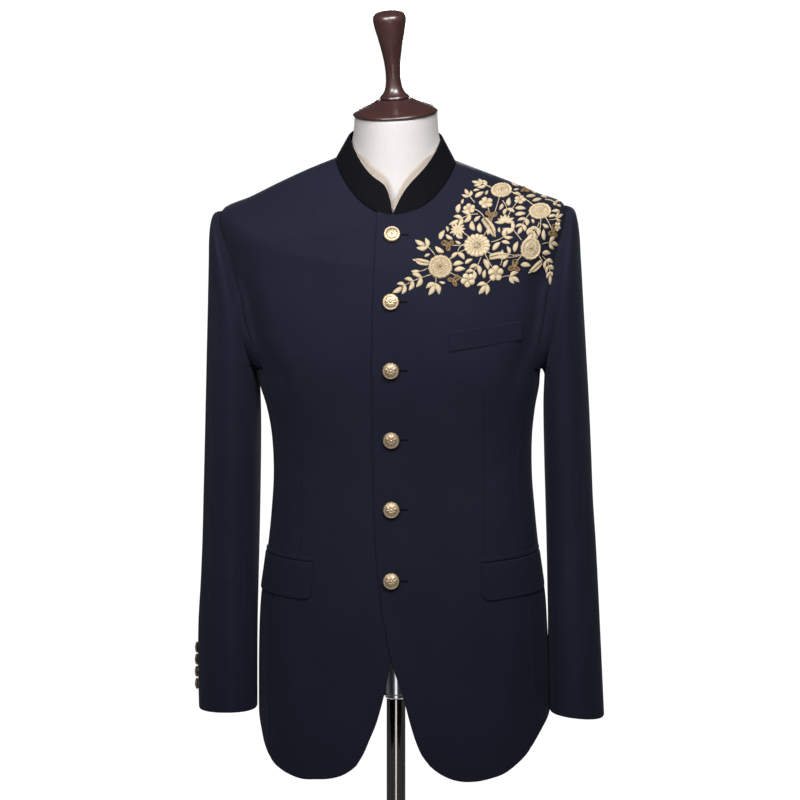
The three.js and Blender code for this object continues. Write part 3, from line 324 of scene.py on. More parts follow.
def body_normal(angle, level):
    turn_step, level_step = 0.8, 1.5
    across = body_point(angle + turn_step, level) - body_point(angle - turn_step, level)
    low = np.maximum(level - level_step, HEM_LEVEL)
    high = np.minimum(level + level_step, NECKLINE)
    return unit(np.cross(across, body_point(angle, high) - body_point(angle, low)))


def body_at(angle, level, out):
    return body_point(angle, level) + body_normal(angle, level) * np.asarray(out)[..., None]


def angle_of(x, level):
    """Angle on a ring's front where it is this far to one side."""
    half = np.where(x < 0, BODY.at("right", level), BODY.at("left", level))
    share = np.clip(np.abs(x) / half, 0, 0.999) ** (BODY.at("square", level) / 2)
    return np.sign(x) * np.degrees(np.arcsin(share))


def front_place(x, height):
    """Angle and level of the front's points that are seen at this x and height."""
    x, height = np.broadcast_arrays(np.asarray(x, float), np.asarray(height, float))
    low = np.full(x.shape, float(HEM_LEVEL))
    high = np.full(x.shape, float(NECKLINE))
    for _ in range(26):
        middle = (low + high) / 2
        below = body_point(angle_of(x, middle), middle)[..., 2] < height
        low = np.where(below, middle, low)
        high = np.where(below, high, middle)
    return angle_of(x, low), low


# Panels of the coat's body: two fronts, two side panels and two backs, each cut from the wool and
# seamed to the next. The wearer's left front laps over the right one. The front edges curve apart
# under the lowest button, and each front's hem drops in a round lobe below the sides.
CLOTH = 1.8
SEAM_GAP = 0.3
POCKET_LINE = 900
HEM = Table(
    ("angle", "right", "left"),
    [
        (0, 700, 700), (11, 659, 659), (16, 647, 646), (22, 641, 639), (29, 639, 638), (36, 638, 641),
        (43, 641, 646), (51, 647, 657), (59, 656, 670), (68, 674, 689), (76, 697, 702), (90, 721, 714),
        (112, 719, 716), (180, 708, 708),
    ],
)
FRONT_EDGE = Table(
    ("height", "right", "left"),
    [
        (640, 62, 64), (659, 50, 50), (674, 40, 39), (693, 31, 31), (714, 21.5, 24.5), (748, 11, 15.4),
        (793, 0.6, 0.6), (828, -9, -6.5), (867, -16, -13), (907, -18, -17.5), (960, -18, -21.5),
        (1040, -18, -23.7), (1240, -18, -23.5), (1364, -18, -20),
    ],
)
LAP_LIFT, LAP_FLAT, LAP_FADE = 2.6, 24, 55
SEAMS = Table(
    ("level", "front", "back"),
    [
        (600, 62, 118), (900, 60, 119), (1040, 60, 119), (1110, 64, 116), (1165, 70, 111),
        (1185, 64, 117), (1208, 61, 120), (1256, 62, 118), (1306, 70, 110), (1335, 79, 101),
        (1350, 90, 90),
    ],
)
EDGE_STEPS = np.array([0.0, 0.5, 1.1, 2.0, 3.4])
LOBE_ANGLE = 11
SEAM_FOOT, FRONT_FOOT = 680, 659
TUCK_REACHES = (-2.5, 0, 4.5)
TUCK_CLOTH = 0.4


def smooth_step(value, low, high):
    t = np.clip((value - low) / (high - low), 0, 1)
    return t * t * (3 - 2 * t)


def lap_lift(x):
    return LAP_LIFT * (1 - smooth_step(x, LAP_FLAT, LAP_FADE))


def hem_height(angle):
    return np.where(angle < 0, HEM.at("right", np.abs(angle)), HEM.at("left", np.abs(angle)))


def shares_with_edges(count, length):
    """Shares from 0 to 1, evenly spread but close together at both ends, which lie on an edge."""
    ends = EDGE_STEPS / length
    middle = np.linspace(ends[-1], 1 - ends[-1], count + 1)[1:-1]
    return np.concatenate([ends, middle, 1 - ends[::-1]])


def gap_angle(level):
    return np.degrees(SEAM_GAP * 0.6 / BODY.at("front", level))


def even_angles(low, high, level_of, shares):
    """Angles between two edges at these shares of the way across, measured on the cloth."""
    dense = np.linspace(low, high, 220)
    points = body_point(dense, level_of(dense))
    run = np.concatenate([[0], np.cumsum(np.linalg.norm(np.diff(points, axis=0), axis=1))])
    return np.interp(shares * run[-1], run, dense)


def panel_places(side, edges_of, skirt_shares, levels, shares):
    """Angle and level of each point of a panel, one row for each share of the skirt and each level."""
    angles, heights = [], []
    for share in skirt_shares:
        seam_level, edge_level = (foot + (POCKET_LINE - foot) * share for foot in (SEAM_FOOT, FRONT_FOOT))
        low, high = edges_of(seam_level, edge_level)

        def level_of(own, share=share):
            hem = hem_height(side * np.maximum(own, LOBE_ANGLE))
            return hem + (POCKET_LINE - hem) * share

        own = even_angles(low, high, level_of, shares)
        angles.append(own * side)
        heights.append(level_of(own))
    for level in levels:
        low, high = edges_of(level, level)
        own = even_angles(low, high, lambda a, level=level: np.full(a.shape, float(level)), shares)
        angles.append(own * side)
        heights.append(np.full(own.shape, float(level)))
    return np.array(angles), np.array(heights)


def front_edges(side):
    column = "left" if side == LEFT else "right"

    def edges(seam_level, edge_level):
        edge_height = body_point(0.0, float(edge_level))[2]
        edge = angle_of(FRONT_EDGE.at(column, edge_height), edge_level)
        return edge, SEAMS.straight("front", seam_level) - gap_angle(seam_level)

    return edges


def side_edges(seam_level, _):
    gap = gap_angle(seam_level)
    return SEAMS.straight("front", seam_level) + gap, SEAMS.straight("back", seam_level) - gap


def back_edges(seam_level, _):
    gap = gap_angle(seam_level)
    return SEAMS.straight("back", seam_level) + gap, 180 - gap


def run_along(points, axis):
    """How far each point lies along its row or column, in mm of cloth."""
    steps = np.linalg.norm(np.diff(points, axis=axis), axis=-1)
    zero = np.zeros_like(np.take(steps, [0], axis=axis))
    return np.concatenate([zero, np.cumsum(steps, axis=axis)], axis=axis)


def hump(value, middle, width):
    """1 at the middle, falling away smoothly to both sides."""
    return np.exp(-(((value - middle) / width) ** 2))


def edge_profile(points, borders, depth, reach):
    """How far the cloth sinks towards the named borders of a panel, as 0 to 1 times depth."""
    across, up = run_along(points, 1), run_along(points, 0)
    distances = {
        "first": across, "last": across[:, -1:] - across, "bottom": up, "top": up[-1:] - up,
    }
    return depth * sum(hump(distances[border], 0, reach) for border in borders)


def crease_height(across, up, creases):
    """Height of soft folds. Each runs from one place to another on the flat cloth."""
    total = np.zeros_like(across)
    for x0, y0, x1, y1, width, height in creases:
        way = np.array([x1 - x0, y1 - y0])
        length = np.hypot(*way)
        along = ((across - x0) * way[0] + (up - y0) * way[1]) / length**2
        beside = ((across - x0) * way[1] - (up - y0) * way[0]) / length
        bend = 0.18 * length * (along - along**2) * np.sign(height)
        taper = smooth_step(along, -0.25, 0.3) * (1 - smooth_step(along, 0.7, 1.25))
        total += height * taper * hump(beside, bend, width)
    return total


def grid_faces(rows, columns, first=0, flip=False):
    r, c = np.meshgrid(np.arange(rows - 1), np.arange(columns - 1), indexing="ij")
    a = first + r * columns + c
    quads = np.stack([a, a + 1, a + columns + 1, a + columns], -1).reshape(-1, 4)
    return quads[:, ::-1] if flip else quads


def shell(outer, inner):
    """Closed wall between two grids of points, with its four edges."""
    rows, columns = outer.shape[:2]
    count = rows * columns
    ids = np.arange(count).reshape(rows, columns)
    rims = [ids[0], ids[:, -1], ids[-1, ::-1], ids[::-1, 0]]
    sides = [np.stack([rim[:-1] + count, rim[1:] + count, rim[1:], rim[:-1]], -1) for rim in rims]
    faces = np.concatenate([
        grid_faces(rows, columns), grid_faces(rows, columns, count, flip=True), *sides,
    ])
    return np.concatenate([outer.reshape(-1, 3), inner.reshape(-1, 3)]), faces


def make_piece(name, points, faces, finish, slot, replaced=(), uv=None):
    """One named piece of the object from points in mm, riding on the object's body."""
    mesh = bpy.data.meshes.new(name)
    mesh.from_pydata((np.asarray(points) / 1000).tolist(), [], [list(map(int, f)) for f in faces])
    mesh.polygons.foreach_set("use_smooth", np.ones(len(mesh.polygons), bool))
    if uv is not None:
        corners = np.empty(len(mesh.loops), np.int32)
        mesh.loops.foreach_get("vertex_index", corners)
        layer = mesh.uv_layers.new(name="cloth")
        layer.data.foreach_set("uv", (np.asarray(uv)[corners] / 1000).ravel())
    mesh.materials.append(finish)
    mesh.update()
    piece = bpy.data.objects.new(name, mesh)
    scene.collection.objects.link(piece)
    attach(piece, "root")
    if replaced:
        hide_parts(*replaced)
    return piece


def border_line(grid, border):
    return {"first": grid[:, 0], "last": grid[:, -1], "bottom": grid[0], "top": grid[-1]}[border]


def allowance(base, normal, lift, cloth, border):
    """Seam allowance of a border: a thin strip that passes under the neighbouring panel."""
    edge = border_line(base, border)
    second = {"first": base[:, 2], "last": base[:, -3], "bottom": base[2], "top": base[-3]}[border]
    way = unit(edge - second)
    out = border_line(normal, border)
    depth = border_line(lift, border)[:, None] - cloth - 0.1
    line = np.stack([edge + way * reach + out * depth for reach in TUCK_REACHES])
    if border == "top":
        line = line[::-1]
    return shell(line, line - TUCK_CLOTH * out)


def joined(parts):
    """Several sets of points and faces as one."""
    points, faces, first = [], [], 0
    for some_points, some_faces in parts:
        points.append(some_points)
        faces += [[int(i) + first for i in face] for face in some_faces]
        first += len(some_points)
    return np.concatenate(points), faces


def cloth_piece(
    name, base, normal, lift, finish, slot, borders, node=None, cloth=CLOTH, groove=0.5, strips=(),
):
    """A panel of cloth on a grid of places. Seamed borders sink a little and free ones are rolled.
    Tucked borders have an allowance that goes under the neighbour."""
    across, up = run_along(base, 1), run_along(base, 0)
    sink = edge_profile(base, borders["seamed"], groove, 1.5)
    roll = edge_profile(base, borders["free"], 0.4 * cloth, 0.8)
    roll += edge_profile(base, borders["seamed"], 0.15 * cloth, 0.6)
    lift = np.broadcast_to(lift, across.shape)
    outer = base + normal * (lift - sink - roll)[..., None]
    inner = base + normal * (lift - cloth + np.minimum(roll, 0.4 * cloth) - sink * 0.3)[..., None]
    tucks = [allowance(base, normal, lift, cloth, border) for border in borders.get("tucked", [])]
    points, faces = joined([shell(outer, inner), *strips, *tucks])
    uv = np.stack([across, up], -1).reshape(-1, 2)
    spare = np.zeros((len(points) - 2 * len(uv), 2))
    return make_piece(name, points, faces, finish, slot, [node or name], np.concatenate([uv, uv, spare]))


# Soft folds of the fronts and the backs, on the flat cloth: mm from centre front or centre back
# towards the side (2.6 mm for each degree), and ring level.
MM_PER_DEGREE = 2.6
FRONT_FOLDS = [
    # from across, from level, to across, to level, width, height
    (146, 1310, 134, 1150, 17, -4.8),
    (112, 1250, 104, 1140, 15, 0.9),
    (120, 1108, 60, 1062, 11, -0.7),
    (140, 1052, 84, 1030, 9, -0.8),
    (148, 1024, 96, 1012, 8, 0.6),
    (132, 870, 124, 700, 20, 1.3),
    (88, 850, 76, 690, 24, -1.0),
    (40, 1120, 22, 1040, 12, -0.5),
]
BACK_FOLDS = [
    (150, 1240, 128, 1110, 15, -1.6),
    (112, 1230, 100, 1120, 14, 1.1),
    (130, 1090, 40, 1048, 12, -1.1),
    (136, 1058, 30, 1016, 10, 0.9),
    (140, 1020, 24, 992, 12, -1.2),
    (132, 984, 50, 966, 10, 0.7),
    (60, 1330, 16, 1260, 16, -0.8),
    (96, 860, 84, 730, 22, 1.4),
    (50, 850, 44, 726, 22, -1.2),
]
FRONT_COLUMNS, SIDE_COLUMNS, BACK_COLUMNS = 52, 24, 44
SKIRT_SWELL = {LEFT: 2.6, RIGHT: 0}
UNDERARM = {"level": 1150, "reach": 26, "swell": {LEFT: 0, RIGHT: 5.5}}
SIDE_ANGLE = 59
SKIRT_STEPS, LEVEL_STEP = 40, 6.5

skirt_shares = shares_with_edges(SKIRT_STEPS, 250)
skirt_shares = skirt_shares[skirt_shares < 0.985]
upper_levels = np.arange(POCKET_LINE, NECKLINE - 8, LEVEL_STEP)
neck_levels = NECKLINE - EDGE_STEPS[::-1] * 1.2
full_levels = np.concatenate([upper_levels, neck_levels])
armpit_levels = np.concatenate([
    np.arange(POCKET_LINE, ARMPIT - 8, LEVEL_STEP), ARMPIT - SEAM_GAP - EDGE_STEPS[::-1],
])


def in_order(side, *grids):
    """Grids with their columns in the order of rising angle."""
    return grids if side == LEFT else [grid[:, ::-1] for grid in grids]


def add_front(side, word):
    shares = shares_with_edges(FRONT_COLUMNS, 200)
    angle, level = panel_places(side, front_edges(side), skirt_shares, full_levels, shares)
    base, normal = body_point(angle, level), body_normal(angle, level)
    folds = crease_height(angle * side * MM_PER_DEGREE, level, FRONT_FOLDS)
    folds *= smooth_step(NECKLINE - level, 0, 60) * smooth_step(np.abs(angle), 12, 24)
    to_seam = (SEAMS.straight("front", level) - np.abs(angle)) * MM_PER_DEGREE
    folds *= smooth_step(to_seam, 0, 14)
    lift = folds + (lap_lift(base[..., 0]) if side == LEFT else 0)
    base, normal, lift = in_order(side, base, normal, lift)
    edge, seam = ("first", "last") if side == LEFT else ("last", "first")
    borders = {"seamed": [seam, "top"], "free": [edge, "bottom"], "tucked": ["top"]}
    piece = cloth_piece(f"front_{word}", base, normal, lift, navy_wool, "navy_wool", borders)


def add_side(side, word):
    shares = shares_with_edges(SIDE_COLUMNS, 110)
    angle, level = panel_places(side, side_edges, skirt_shares, armpit_levels, shares)
    base, normal = in_order(side, body_point(angle, level), body_normal(angle, level))
    middle_share = np.clip((np.abs(angle) - SEAMS.at("front", level)) / SIDE_ANGLE, 0, 1)
    swell = SKIRT_SWELL[side] * smooth_step(850 - level, 0, 120)
    swell += UNDERARM["swell"][side] * hump(level, UNDERARM["level"], UNDERARM["reach"])
    swell = in_order(side, swell * np.sin(math.pi * middle_share))[0]
    borders = {"seamed": ["first", "last", "top"], "free": ["bottom"], "tucked": ["first", "last"]}
    piece = cloth_piece(f"side_{word}", base, normal, swell, navy_wool, "navy_wool", borders)


def add_back(side, word):
    shares = shares_with_edges(BACK_COLUMNS, 180)
    angle, level = panel_places(side, back_edges, skirt_shares, full_levels, shares)
    base, normal = body_point(angle, level), body_normal(angle, level)
    folds = crease_height((180 - np.abs(angle)) * MM_PER_DEGREE, level, BACK_FOLDS)
    folds *= smooth_step(NECKLINE - level, 0, 60) * smooth_step(180 - np.abs(angle), 2, 12)
    base, normal, folds = in_order(side, base, normal, folds)
    borders = {"seamed": ["first", "last", "top"], "free": ["bottom"], "tucked": ["first", "last", "top"]}
    piece = cloth_piece(f"back_{word}", base, normal, folds, navy_wool, "navy_wool", borders)


for side, word in SIDES:
    add_front(side, word)
    add_side(side, word)
    add_back(side, word)

# Stand collar: one band of the same wool over stiff canvas, sewn to the neckline. Its wool is a copy
# whose colours are painted about four times darker than the body's, as shade. It leans in towards
# the neck, and its front ends are cut away in an ogee that meets at centre front.
COLLAR_CLOTH = 2.4
COLLAR_TOP = {"half": 60, "front": 69, "back": 53, "side": 1464, "lean": -2, "drop": 61, "rise": 19}
COLLAR_END = {RIGHT: (32, 5.0), LEFT: (60, 4.4)}
COLLAR_LEAST = 0.07


def collar_point(angle, share):
    turn = np.radians(angle)
    sin, cos = np.sin(turn), np.cos(turn)
    depth = np.where(cos > 0, COLLAR_TOP["front"], COLLAR_TOP["back"])
    climb = np.where(cos > 0, -COLLAR_TOP["drop"], COLLAR_TOP["rise"]) * np.abs(cos) ** FRONT_FALL
    height = COLLAR_TOP["side"] + COLLAR_TOP["lean"] * sin + climb
    top = np.stack([COLLAR_TOP["half"] * sin, -depth * cos, height], -1)
    foot = body_point(angle, np.full(np.shape(angle), float(NECKLINE)))
    share = np.asarray(share)[..., None]
    return foot * (1 - share) + top * share + np.array([0, 0, SEAM_GAP * 1.5])


def collar_normal(angle, share):
    across = collar_point(angle + 0.5, share) - collar_point(angle - 0.5, share)
    ones = np.ones(np.shape(angle))
    return unit(np.cross(across, collar_point(angle, ones) - collar_point(angle, 0 * ones)))


def collar_height(angle):
    """Height of the collar's top edge, as a share of the full height."""
    run = np.abs(np.radians((angle + 180) % 360 - 180)) * COLLAR_TOP["front"]
    right_side = np.asarray(angle) % 360 > 180
    reach = np.where(right_side, COLLAR_END[RIGHT][0], COLLAR_END[LEFT][0])
    power = np.where(right_side, COLLAR_END[RIGHT][1], COLLAR_END[LEFT][1])
    rise = 1 - (1 - np.clip(run / reach, 0, 1)) ** power
    return COLLAR_LEAST + (1 - COLLAR_LEAST) * rise


half_turn = 0.3 + 179.7 * np.linspace(0, 1, 80) ** 1.6
collar_angles = np.concatenate([half_turn, (360 - half_turn)[::-1][1:]])
collar_rows = shares_with_edges(10, 37)
angle, share = np.meshgrid(collar_angles, collar_rows)
share = share * collar_height(angle)
piece = cloth_piece(
    "collar", collar_point(angle, share), collar_normal(angle, share), 0, collar_wool, "collar_wool",
    {"seamed": ["bottom"], "free": ["top", "first", "last"]}, cloth=COLLAR_CLOTH, groove=0.3,
)

# A thin cream sheet inside the collar, darker than the neck, which stands about 12 mm above the
# collar's front edge and dies away at the sides of the neck.
STRIP = {"cloth": 1.0, "gap": 0.45, "foot": 0.04, "rise": 12, "fade_from": 40, "fade_to": 64, "reach": 68}


def cotton():
    cloth = Finish("cream_cotton", {"Specular IOR Level": 0.25, "Sheen Weight": 0.1})
    where = cloth.place_on_cloth()
    across, up = cloth.parts(where)
    pitch = math.tau / 0.0006
    weave = (across * pitch).math("SINE") * (up * pitch).math("SINE")
    mottle = cloth.noise(where, 300, 3)
    cloth.feed("Base Color", cloth.mix(mottle, (0.3, 0.25, 0.21, 1), (0.42, 0.365, 0.315, 1)))
    cloth.feed("Roughness", 0.95 - mottle * 0.2)
    cloth.bump(weave + mottle, 0.0001, 0.7)
    return cloth.material


cream_cotton = cotton()
for side, word in SIDES:
    strip_angles = side * (0.5 + (STRIP["reach"] - 0.5) * np.linspace(0, 1, 48) ** 1.4)
    rows = np.concatenate([np.linspace(0, 1, 6), [1.3, 1.6, 1.85, 2.0]])
    angle, row = np.meshgrid(strip_angles, rows)
    fade = 1 - smooth_step(np.abs(angle), STRIP["fade_from"], STRIP["fade_to"])
    share = STRIP["foot"] + (collar_height(angle) - STRIP["foot"]) * np.minimum(row, 1)
    base, normal = collar_point(angle, share), collar_normal(angle, share)
    base = base - normal * (COLLAR_CLOTH + STRIP["gap"])
    base[..., 2] += np.maximum(row - 1, 0) * (0.6 + (STRIP["rise"] - 0.6) * fade)
    base, normal = in_order(side, base, normal)
    borders = {"seamed": [], "free": ["top", "first", "last"]}
    piece = cloth_piece(
        f"collar_strip_{word}", base, normal, 0, cream_cotton, "cream_cotton", borders,
        cloth=STRIP["cloth"],
    )

# Sleeves, each cut in two: a top sleeve over the arm and an under sleeve next to the body. The head
# is eased into the armhole, and the cuff is open. Rings run from armhole to cuff. in_x and in_z place
# a ring's side next to the body, out_x and out_z its outer side, and front and back its reach in Y.
SLEEVE_COLUMNS = ("ring", "in_x", "in_z", "out_x", "out_z", "front", "back")
SLEEVES = {
    RIGHT: Table(SLEEVE_COLUMNS, [
        (1, 181, 1157, 236, 1361, -71, 68),
        (2, 180, 1149, 241, 1342, -76, 74),
        (3, 178.5, 1139, 242.5, 1300, -77, 78),
        (4, 177.5, 1124, 244, 1245, -76, 80),
        (5, 177, 1104, 246, 1180, -73, 80),
        (6, 177, 1076, 248, 1112, -69, 79),
        (7, 177.5, 1036, 250, 1048, -64, 78),
        (8, 178.5, 988, 252, 990, -58, 76),
        (9, 179.5, 937, 253.5, 937, -55, 70),
        (10, 180.5, 884, 255.5, 884, -57, 62),
        (11, 181.4, 830, 258.3, 830, -60, 54),
        (12, 181.6, 774, 258.8, 774, -62, 48),
        (13, 181.4, 717, 257.5, 717, -63, 42),
    ]),
    LEFT: Table(SLEEVE_COLUMNS, [
        (1, 193, 1157, 229, 1367, -71, 68),
        (2, 192.5, 1149, 236, 1348, -76, 74),
        (3, 192, 1139, 239.5, 1303, -77, 78),
        (4, 191.5, 1124, 243, 1245, -76, 80),
        (5, 191.5, 1104, 247, 1180, -73, 80),
        (6, 192, 1076, 251, 1112, -69, 79),
        (7, 193, 1036, 254, 1048, -64, 78),
        (8, 194.5, 988, 256.5, 990, -58, 76),
        (9, 196, 937, 260.3, 936, -55, 70),
        (10, 197.5, 884, 263.5, 882, -57, 62),
        (11, 199.8, 830, 266.5, 826, -60, 54),
        (12, 200.8, 774, 269.5, 768, -62, 48),
        (13, 201.2, 717, 272.5, 710, -63, 42),
    ]),
}
SLEEVE_SQUARE = 2.25
ARMHOLE_GAP = 0.2
ARMHOLE_TUCK = {"angle": 3.4, "level": 6, "depth": 2.5}
HEAD_FULLNESS = {"below": 10, "width": 11, "height": 2.2}
UNDERARM_FULLNESS = {"below": 30, "width": 24, "turn": 182, "reach": 42, "height": 5}
LAST_RING = 13
RING_PITCH = 56
FRONT_SEAM, HEAD_DRIFT = 122, 40
BACK_SEAM, BACK_DRIFT = 300, {LEFT: 0, RIGHT: 50}
SLEEVE_SEAM_GAP = 0.25
SLEEVE_MM_PER_DEGREE = 1.1
SLEEVE_FOLDS = {
    # from turn (mm round the sleeve), from mm below the shoulder, to the same, width, height
    RIGHT: [
        (70, 40, 60, 150, 12, -1.0), (110, 120, 92, 250, 13, -1.3), (60, 210, 84, 330, 12, 1.3),
        (100, 300, 48, 360, 9, -1.4), (120, 340, 66, 385, 8, 1.1), (48, 390, 62, 520, 12, -1.0),
        (-60, 250, -110, 320, 10, -1.4), (-50, 330, -120, 372, 9, 1.2), (-70, 420, -96, 540, 14, -1.0),
    ],
    LEFT: [
        (84, 36, 70, 160, 12, -1.1), (64, 170, 96, 300, 11, -1.5), (92, 220, 74, 380, 12, 1.4),
        (112, 300, 52, 352, 9, -1.3), (54, 330, 80, 470, 13, -1.1), (104, 430, 88, 560, 12, 0.9),
        (-198, 350, -198, 650, 26, 2.8), (-60, 240, -112, 306, 10, -1.4),
        (-52, 318, -118, 366, 9, 1.2), (-74, 420, -92, 548, 14, -1.0),
    ],
}


def armhole(side, tuck=0.0):
    """The armhole's edge as points, and each point's turn: 0 at the shoulder, 90 at the front. With a
    tuck of 1 the points lie under the body's panels instead."""
    rise = np.linspace(0, 1, 60, endpoint=False)
    levels = SHOULDER + (ARMPIT - SHOULDER) * rise
    under = SEAMS.straight("front", ARMPIT) + np.linspace(0, 1, 24, endpoint=False) * (
        SEAMS.straight("back", ARMPIT) - SEAMS.straight("front", ARMPIT)
    )
    angles = np.concatenate([
        SEAMS.straight("front", levels), under, SEAMS.straight("back", levels[::-1]),
    ])
    heights = np.concatenate([levels, np.full(under.shape, float(ARMPIT)), levels[::-1]])
    points = body_point(angles * side, heights)
    part = np.repeat([-1, 0, 1], [len(levels), len(under), len(levels)])
    tucked_angles = angles + tuck * ARMHOLE_TUCK["angle"] * part
    tucked_heights = heights - tuck * ARMHOLE_TUCK["level"] * (part == 0)
    tucked = body_at(tucked_angles * side, tucked_heights, np.full(part.shape, -ARMHOLE_TUCK["depth"]))
    top = points[0, 2]
    middle, half_depth = (top + ARMPIT) / 2, 67
    turn = np.degrees(np.arctan2(-points[:, 1] / half_depth, (points[:, 2] - middle) / (top - middle)))
    turn = np.where(turn < -0.5, turn + 360, turn)
    turn[0] = 0
    order = np.argsort(turn)
    return turn[order], (tucked if tuck else points)[order]


def head_allowance(side, ring_zero):
    """Seam allowance of the sleeve's head, turned in under the body's panels all round."""
    known, edge = armhole(side, 0.3)
    _, deep = armhole(side, 1)
    turns = np.append(SLEEVE_TURNS, 360.0)
    lines = [np.concatenate([ring_zero, ring_zero[:1]])]
    for loop in (edge, deep):
        lines.append(np.stack([np.interp(turns, known, loop[:, i], period=360) for i in range(3)], -1))
    lines[0] = lines[0] * 0.9 + lines[1] * 0.1
    strip = np.stack(lines)
    inside = np.array([np.mean(edge[:, 0]) * 0.6, 0, np.mean(edge[:, 2])])
    return shell(strip, strip + unit(inside - strip) * 0.4)


def sleeve_rings(side, turns):
    """Points of the sleeve's outside on each whole ring, at these turns in degrees."""
    rings = np.arange(1, LAST_RING + 1)[:, None]
    wrapped = np.asarray(turns) % 360
    sin, cos = np.sin(np.radians(wrapped)), np.cos(np.radians(wrapped))
    power = 2 / SLEEVE_SQUARE
    outward = (1 + signed_power(cos, power)) / 2
    forward = signed_power(sin, power)
    at = {name: SLEEVES[side].rows[name][rings - 1] for name in SLEEVE_COLUMNS}
    middle, half = (at["front"] + at["back"]) / 2, (at["back"] - at["front"]) / 2
    points = np.stack([
        side * (at["in_x"] + (at["out_x"] - at["in_x"]) * outward),
        middle - half * forward,
        at["in_z"] + (at["out_z"] - at["in_z"]) * outward,
    ], -1)
    known, edge = armhole(side)
    hole = np.stack([np.interp(wrapped, known, edge[:, i], period=360) for i in range(3)], -1)
    hole[:, 0] += side * ARMHOLE_GAP
    hole[:, 2] += np.maximum(0, -cos) * ARMHOLE_GAP
    return np.concatenate([hole[None], points])


def smooth_rows(points, wanted):
    """Rows between a few rows of points, on a smooth curve down each column. wanted is in rows."""
    run = run_along(points, 0)
    low, high = neighbours(len(points))
    slope = (points[high] - points[low]) / (run[high] - run[low])[..., None]
    i = np.clip(wanted.astype(int), 0, len(points) - 2)
    t = (wanted - i)[:, None, None]
    width = (run[i + 1] - run[i])[..., None]
    return on_curve(t, width, points[i], points[i + 1], slope[i], slope[i + 1])


def grid_normals(points, sign):
    across = np.gradient(points, axis=1)
    along = np.gradient(points, axis=0)
    return unit(np.cross(across, along)) * sign


def back_seam_turn(side, ring):
    """Turn of the seam that carries the cuff buttons. The right sleeve hangs turned."""
    return BACK_SEAM + BACK_DRIFT[side] * smooth_step(ring / LAST_RING, 0.4, 1)


SLEEVE_TURNS = np.arange(0, 360, 2.5)
RING_ROWS = np.concatenate([
    np.array([0, 0.04, 0.1, 0.2, 0.35, 0.5, 0.7, 0.9]), np.linspace(1.1, 12.8, 118),
    LAST_RING - EDGE_STEPS[::-1] / 57,
])


def sleeve_surface(side):
    """The whole sleeve as a closed band of points, and their normals."""
    dense = smooth_rows(sleeve_rings(side, SLEEVE_TURNS), RING_ROWS)
    padded = np.concatenate([dense[:, -3:], dense, dense[:, :3]], axis=1)
    normals = grid_normals(padded, side)[:, 3:-3]
    return dense, normals


def sleeve_at(surface, rows_turns, out):
    """Points of a sleeve at these turns, one list of turns for each row, moved out by a height."""
    dense, normals = surface
    points = np.empty((*rows_turns.shape, 3))
    ways = np.empty_like(points)
    for row, turns in enumerate(rows_turns):
        for axis in range(3):
            points[row, :, axis] = np.interp(turns % 360, SLEEVE_TURNS, dense[row, :, axis], period=360)
            ways[row, :, axis] = np.interp(turns % 360, SLEEVE_TURNS, normals[row, :, axis], period=360)
    ways = unit(ways)
    return points + ways * np.asarray(out)[..., None], ways


def add_sleeve_piece(side, word, kind, columns):
    surface = sleeve_surface(side)
    shares = shares_with_edges(columns, 190)
    back = back_seam_turn(side, RING_ROWS)[:, None]
    front = FRONT_SEAM + HEAD_DRIFT * (1 - smooth_step(RING_ROWS, 0, 4))[:, None]
    low, high = (back - 360, front) if kind == "top" else (front, back)
    turns = low + SLEEVE_SEAM_GAP + (high - low - 2 * SLEEVE_SEAM_GAP) * shares
    base, normal = sleeve_at(surface, turns, np.zeros(turns.shape))
    below = run_along(base, 0)
    around = (turns if kind == "top" else turns - 360) * SLEEVE_MM_PER_DEGREE
    folds = crease_height(around, below, SLEEVE_FOLDS[side])
    folds *= smooth_step(below, 20, 90) * smooth_step(below[-1:] - below, 8, 60)
    base, normal, folds = in_order(side, base, normal, folds)
    eased = hump(below, HEAD_FULLNESS["below"], HEAD_FULLNESS["width"])
    folds += HEAD_FULLNESS["height"] * eased * (0.35 + 0.65 * np.maximum(0, np.cos(np.radians(turns))))
    if side == RIGHT:
        down = hump(below, UNDERARM_FULLNESS["below"], UNDERARM_FULLNESS["width"])
        inwards = hump(turns % 360, UNDERARM_FULLNESS["turn"], UNDERARM_FULLNESS["reach"])
        folds += UNDERARM_FULLNESS["height"] * down * inwards
    borders = {"seamed": ["first", "last"], "free": ["top"]}
    if kind == "under":
        borders["tucked"] = ["first", "last"]
    strips = [head_allowance(side, surface[0][0])] if kind == "top" else []
    piece = cloth_piece(
        f"{kind}_sleeve_{word}", base, normal, folds, navy_wool, "navy_wool", borders,
        groove=0.35, strips=strips,
    )


for side, word in SIDES:
    add_sleeve_piece(side, word, "top", 64)
    add_sleeve_piece(side, word, "under", 48)

# Pocket pieces. The breast welt is a folded strip of the wool that climbs towards the armhole. Each
# hip pocket has a narrow jetting and, under it, a lined flap with round lower corners, which runs
# back round the side. All are pressed flat and edge-sewn to the fronts.
WELT = {
    "inner": 73, "outer": 165,
    "inner_low": 1194, "inner_high": 1220, "outer_low": 1207, "outer_high": 1232,
    "length": 94, "height": 27,
}
FLAP = {
    "start": 113, "reach": 54, "top": 920, "rise": {RIGHT: 5, LEFT: 8},
    "width": 148, "height": 49, "corner": 11, "roundness": 0.9,
}
JETTING = {"height": 6, "gap": 0.8}
WELT_OUT, FLAP_OUT, JETTING_OUT = 1.5, 2.1, 1.6
LAID_FOOT = 0.1


def laid_piece(name, angle, level, out, seamed):
    """A pressed piece on the coat's face, sewn in at the seamed borders. out is its height."""
    base, normal = body_point(angle, level), body_normal(angle, level)
    free = [border for border in ("first", "last", "top", "bottom") if border not in seamed]
    piece = cloth_piece(
        name, base, normal, out, navy_wool, "navy_wool", {"seamed": seamed, "free": free},
        cloth=out - LAID_FOOT,
    )


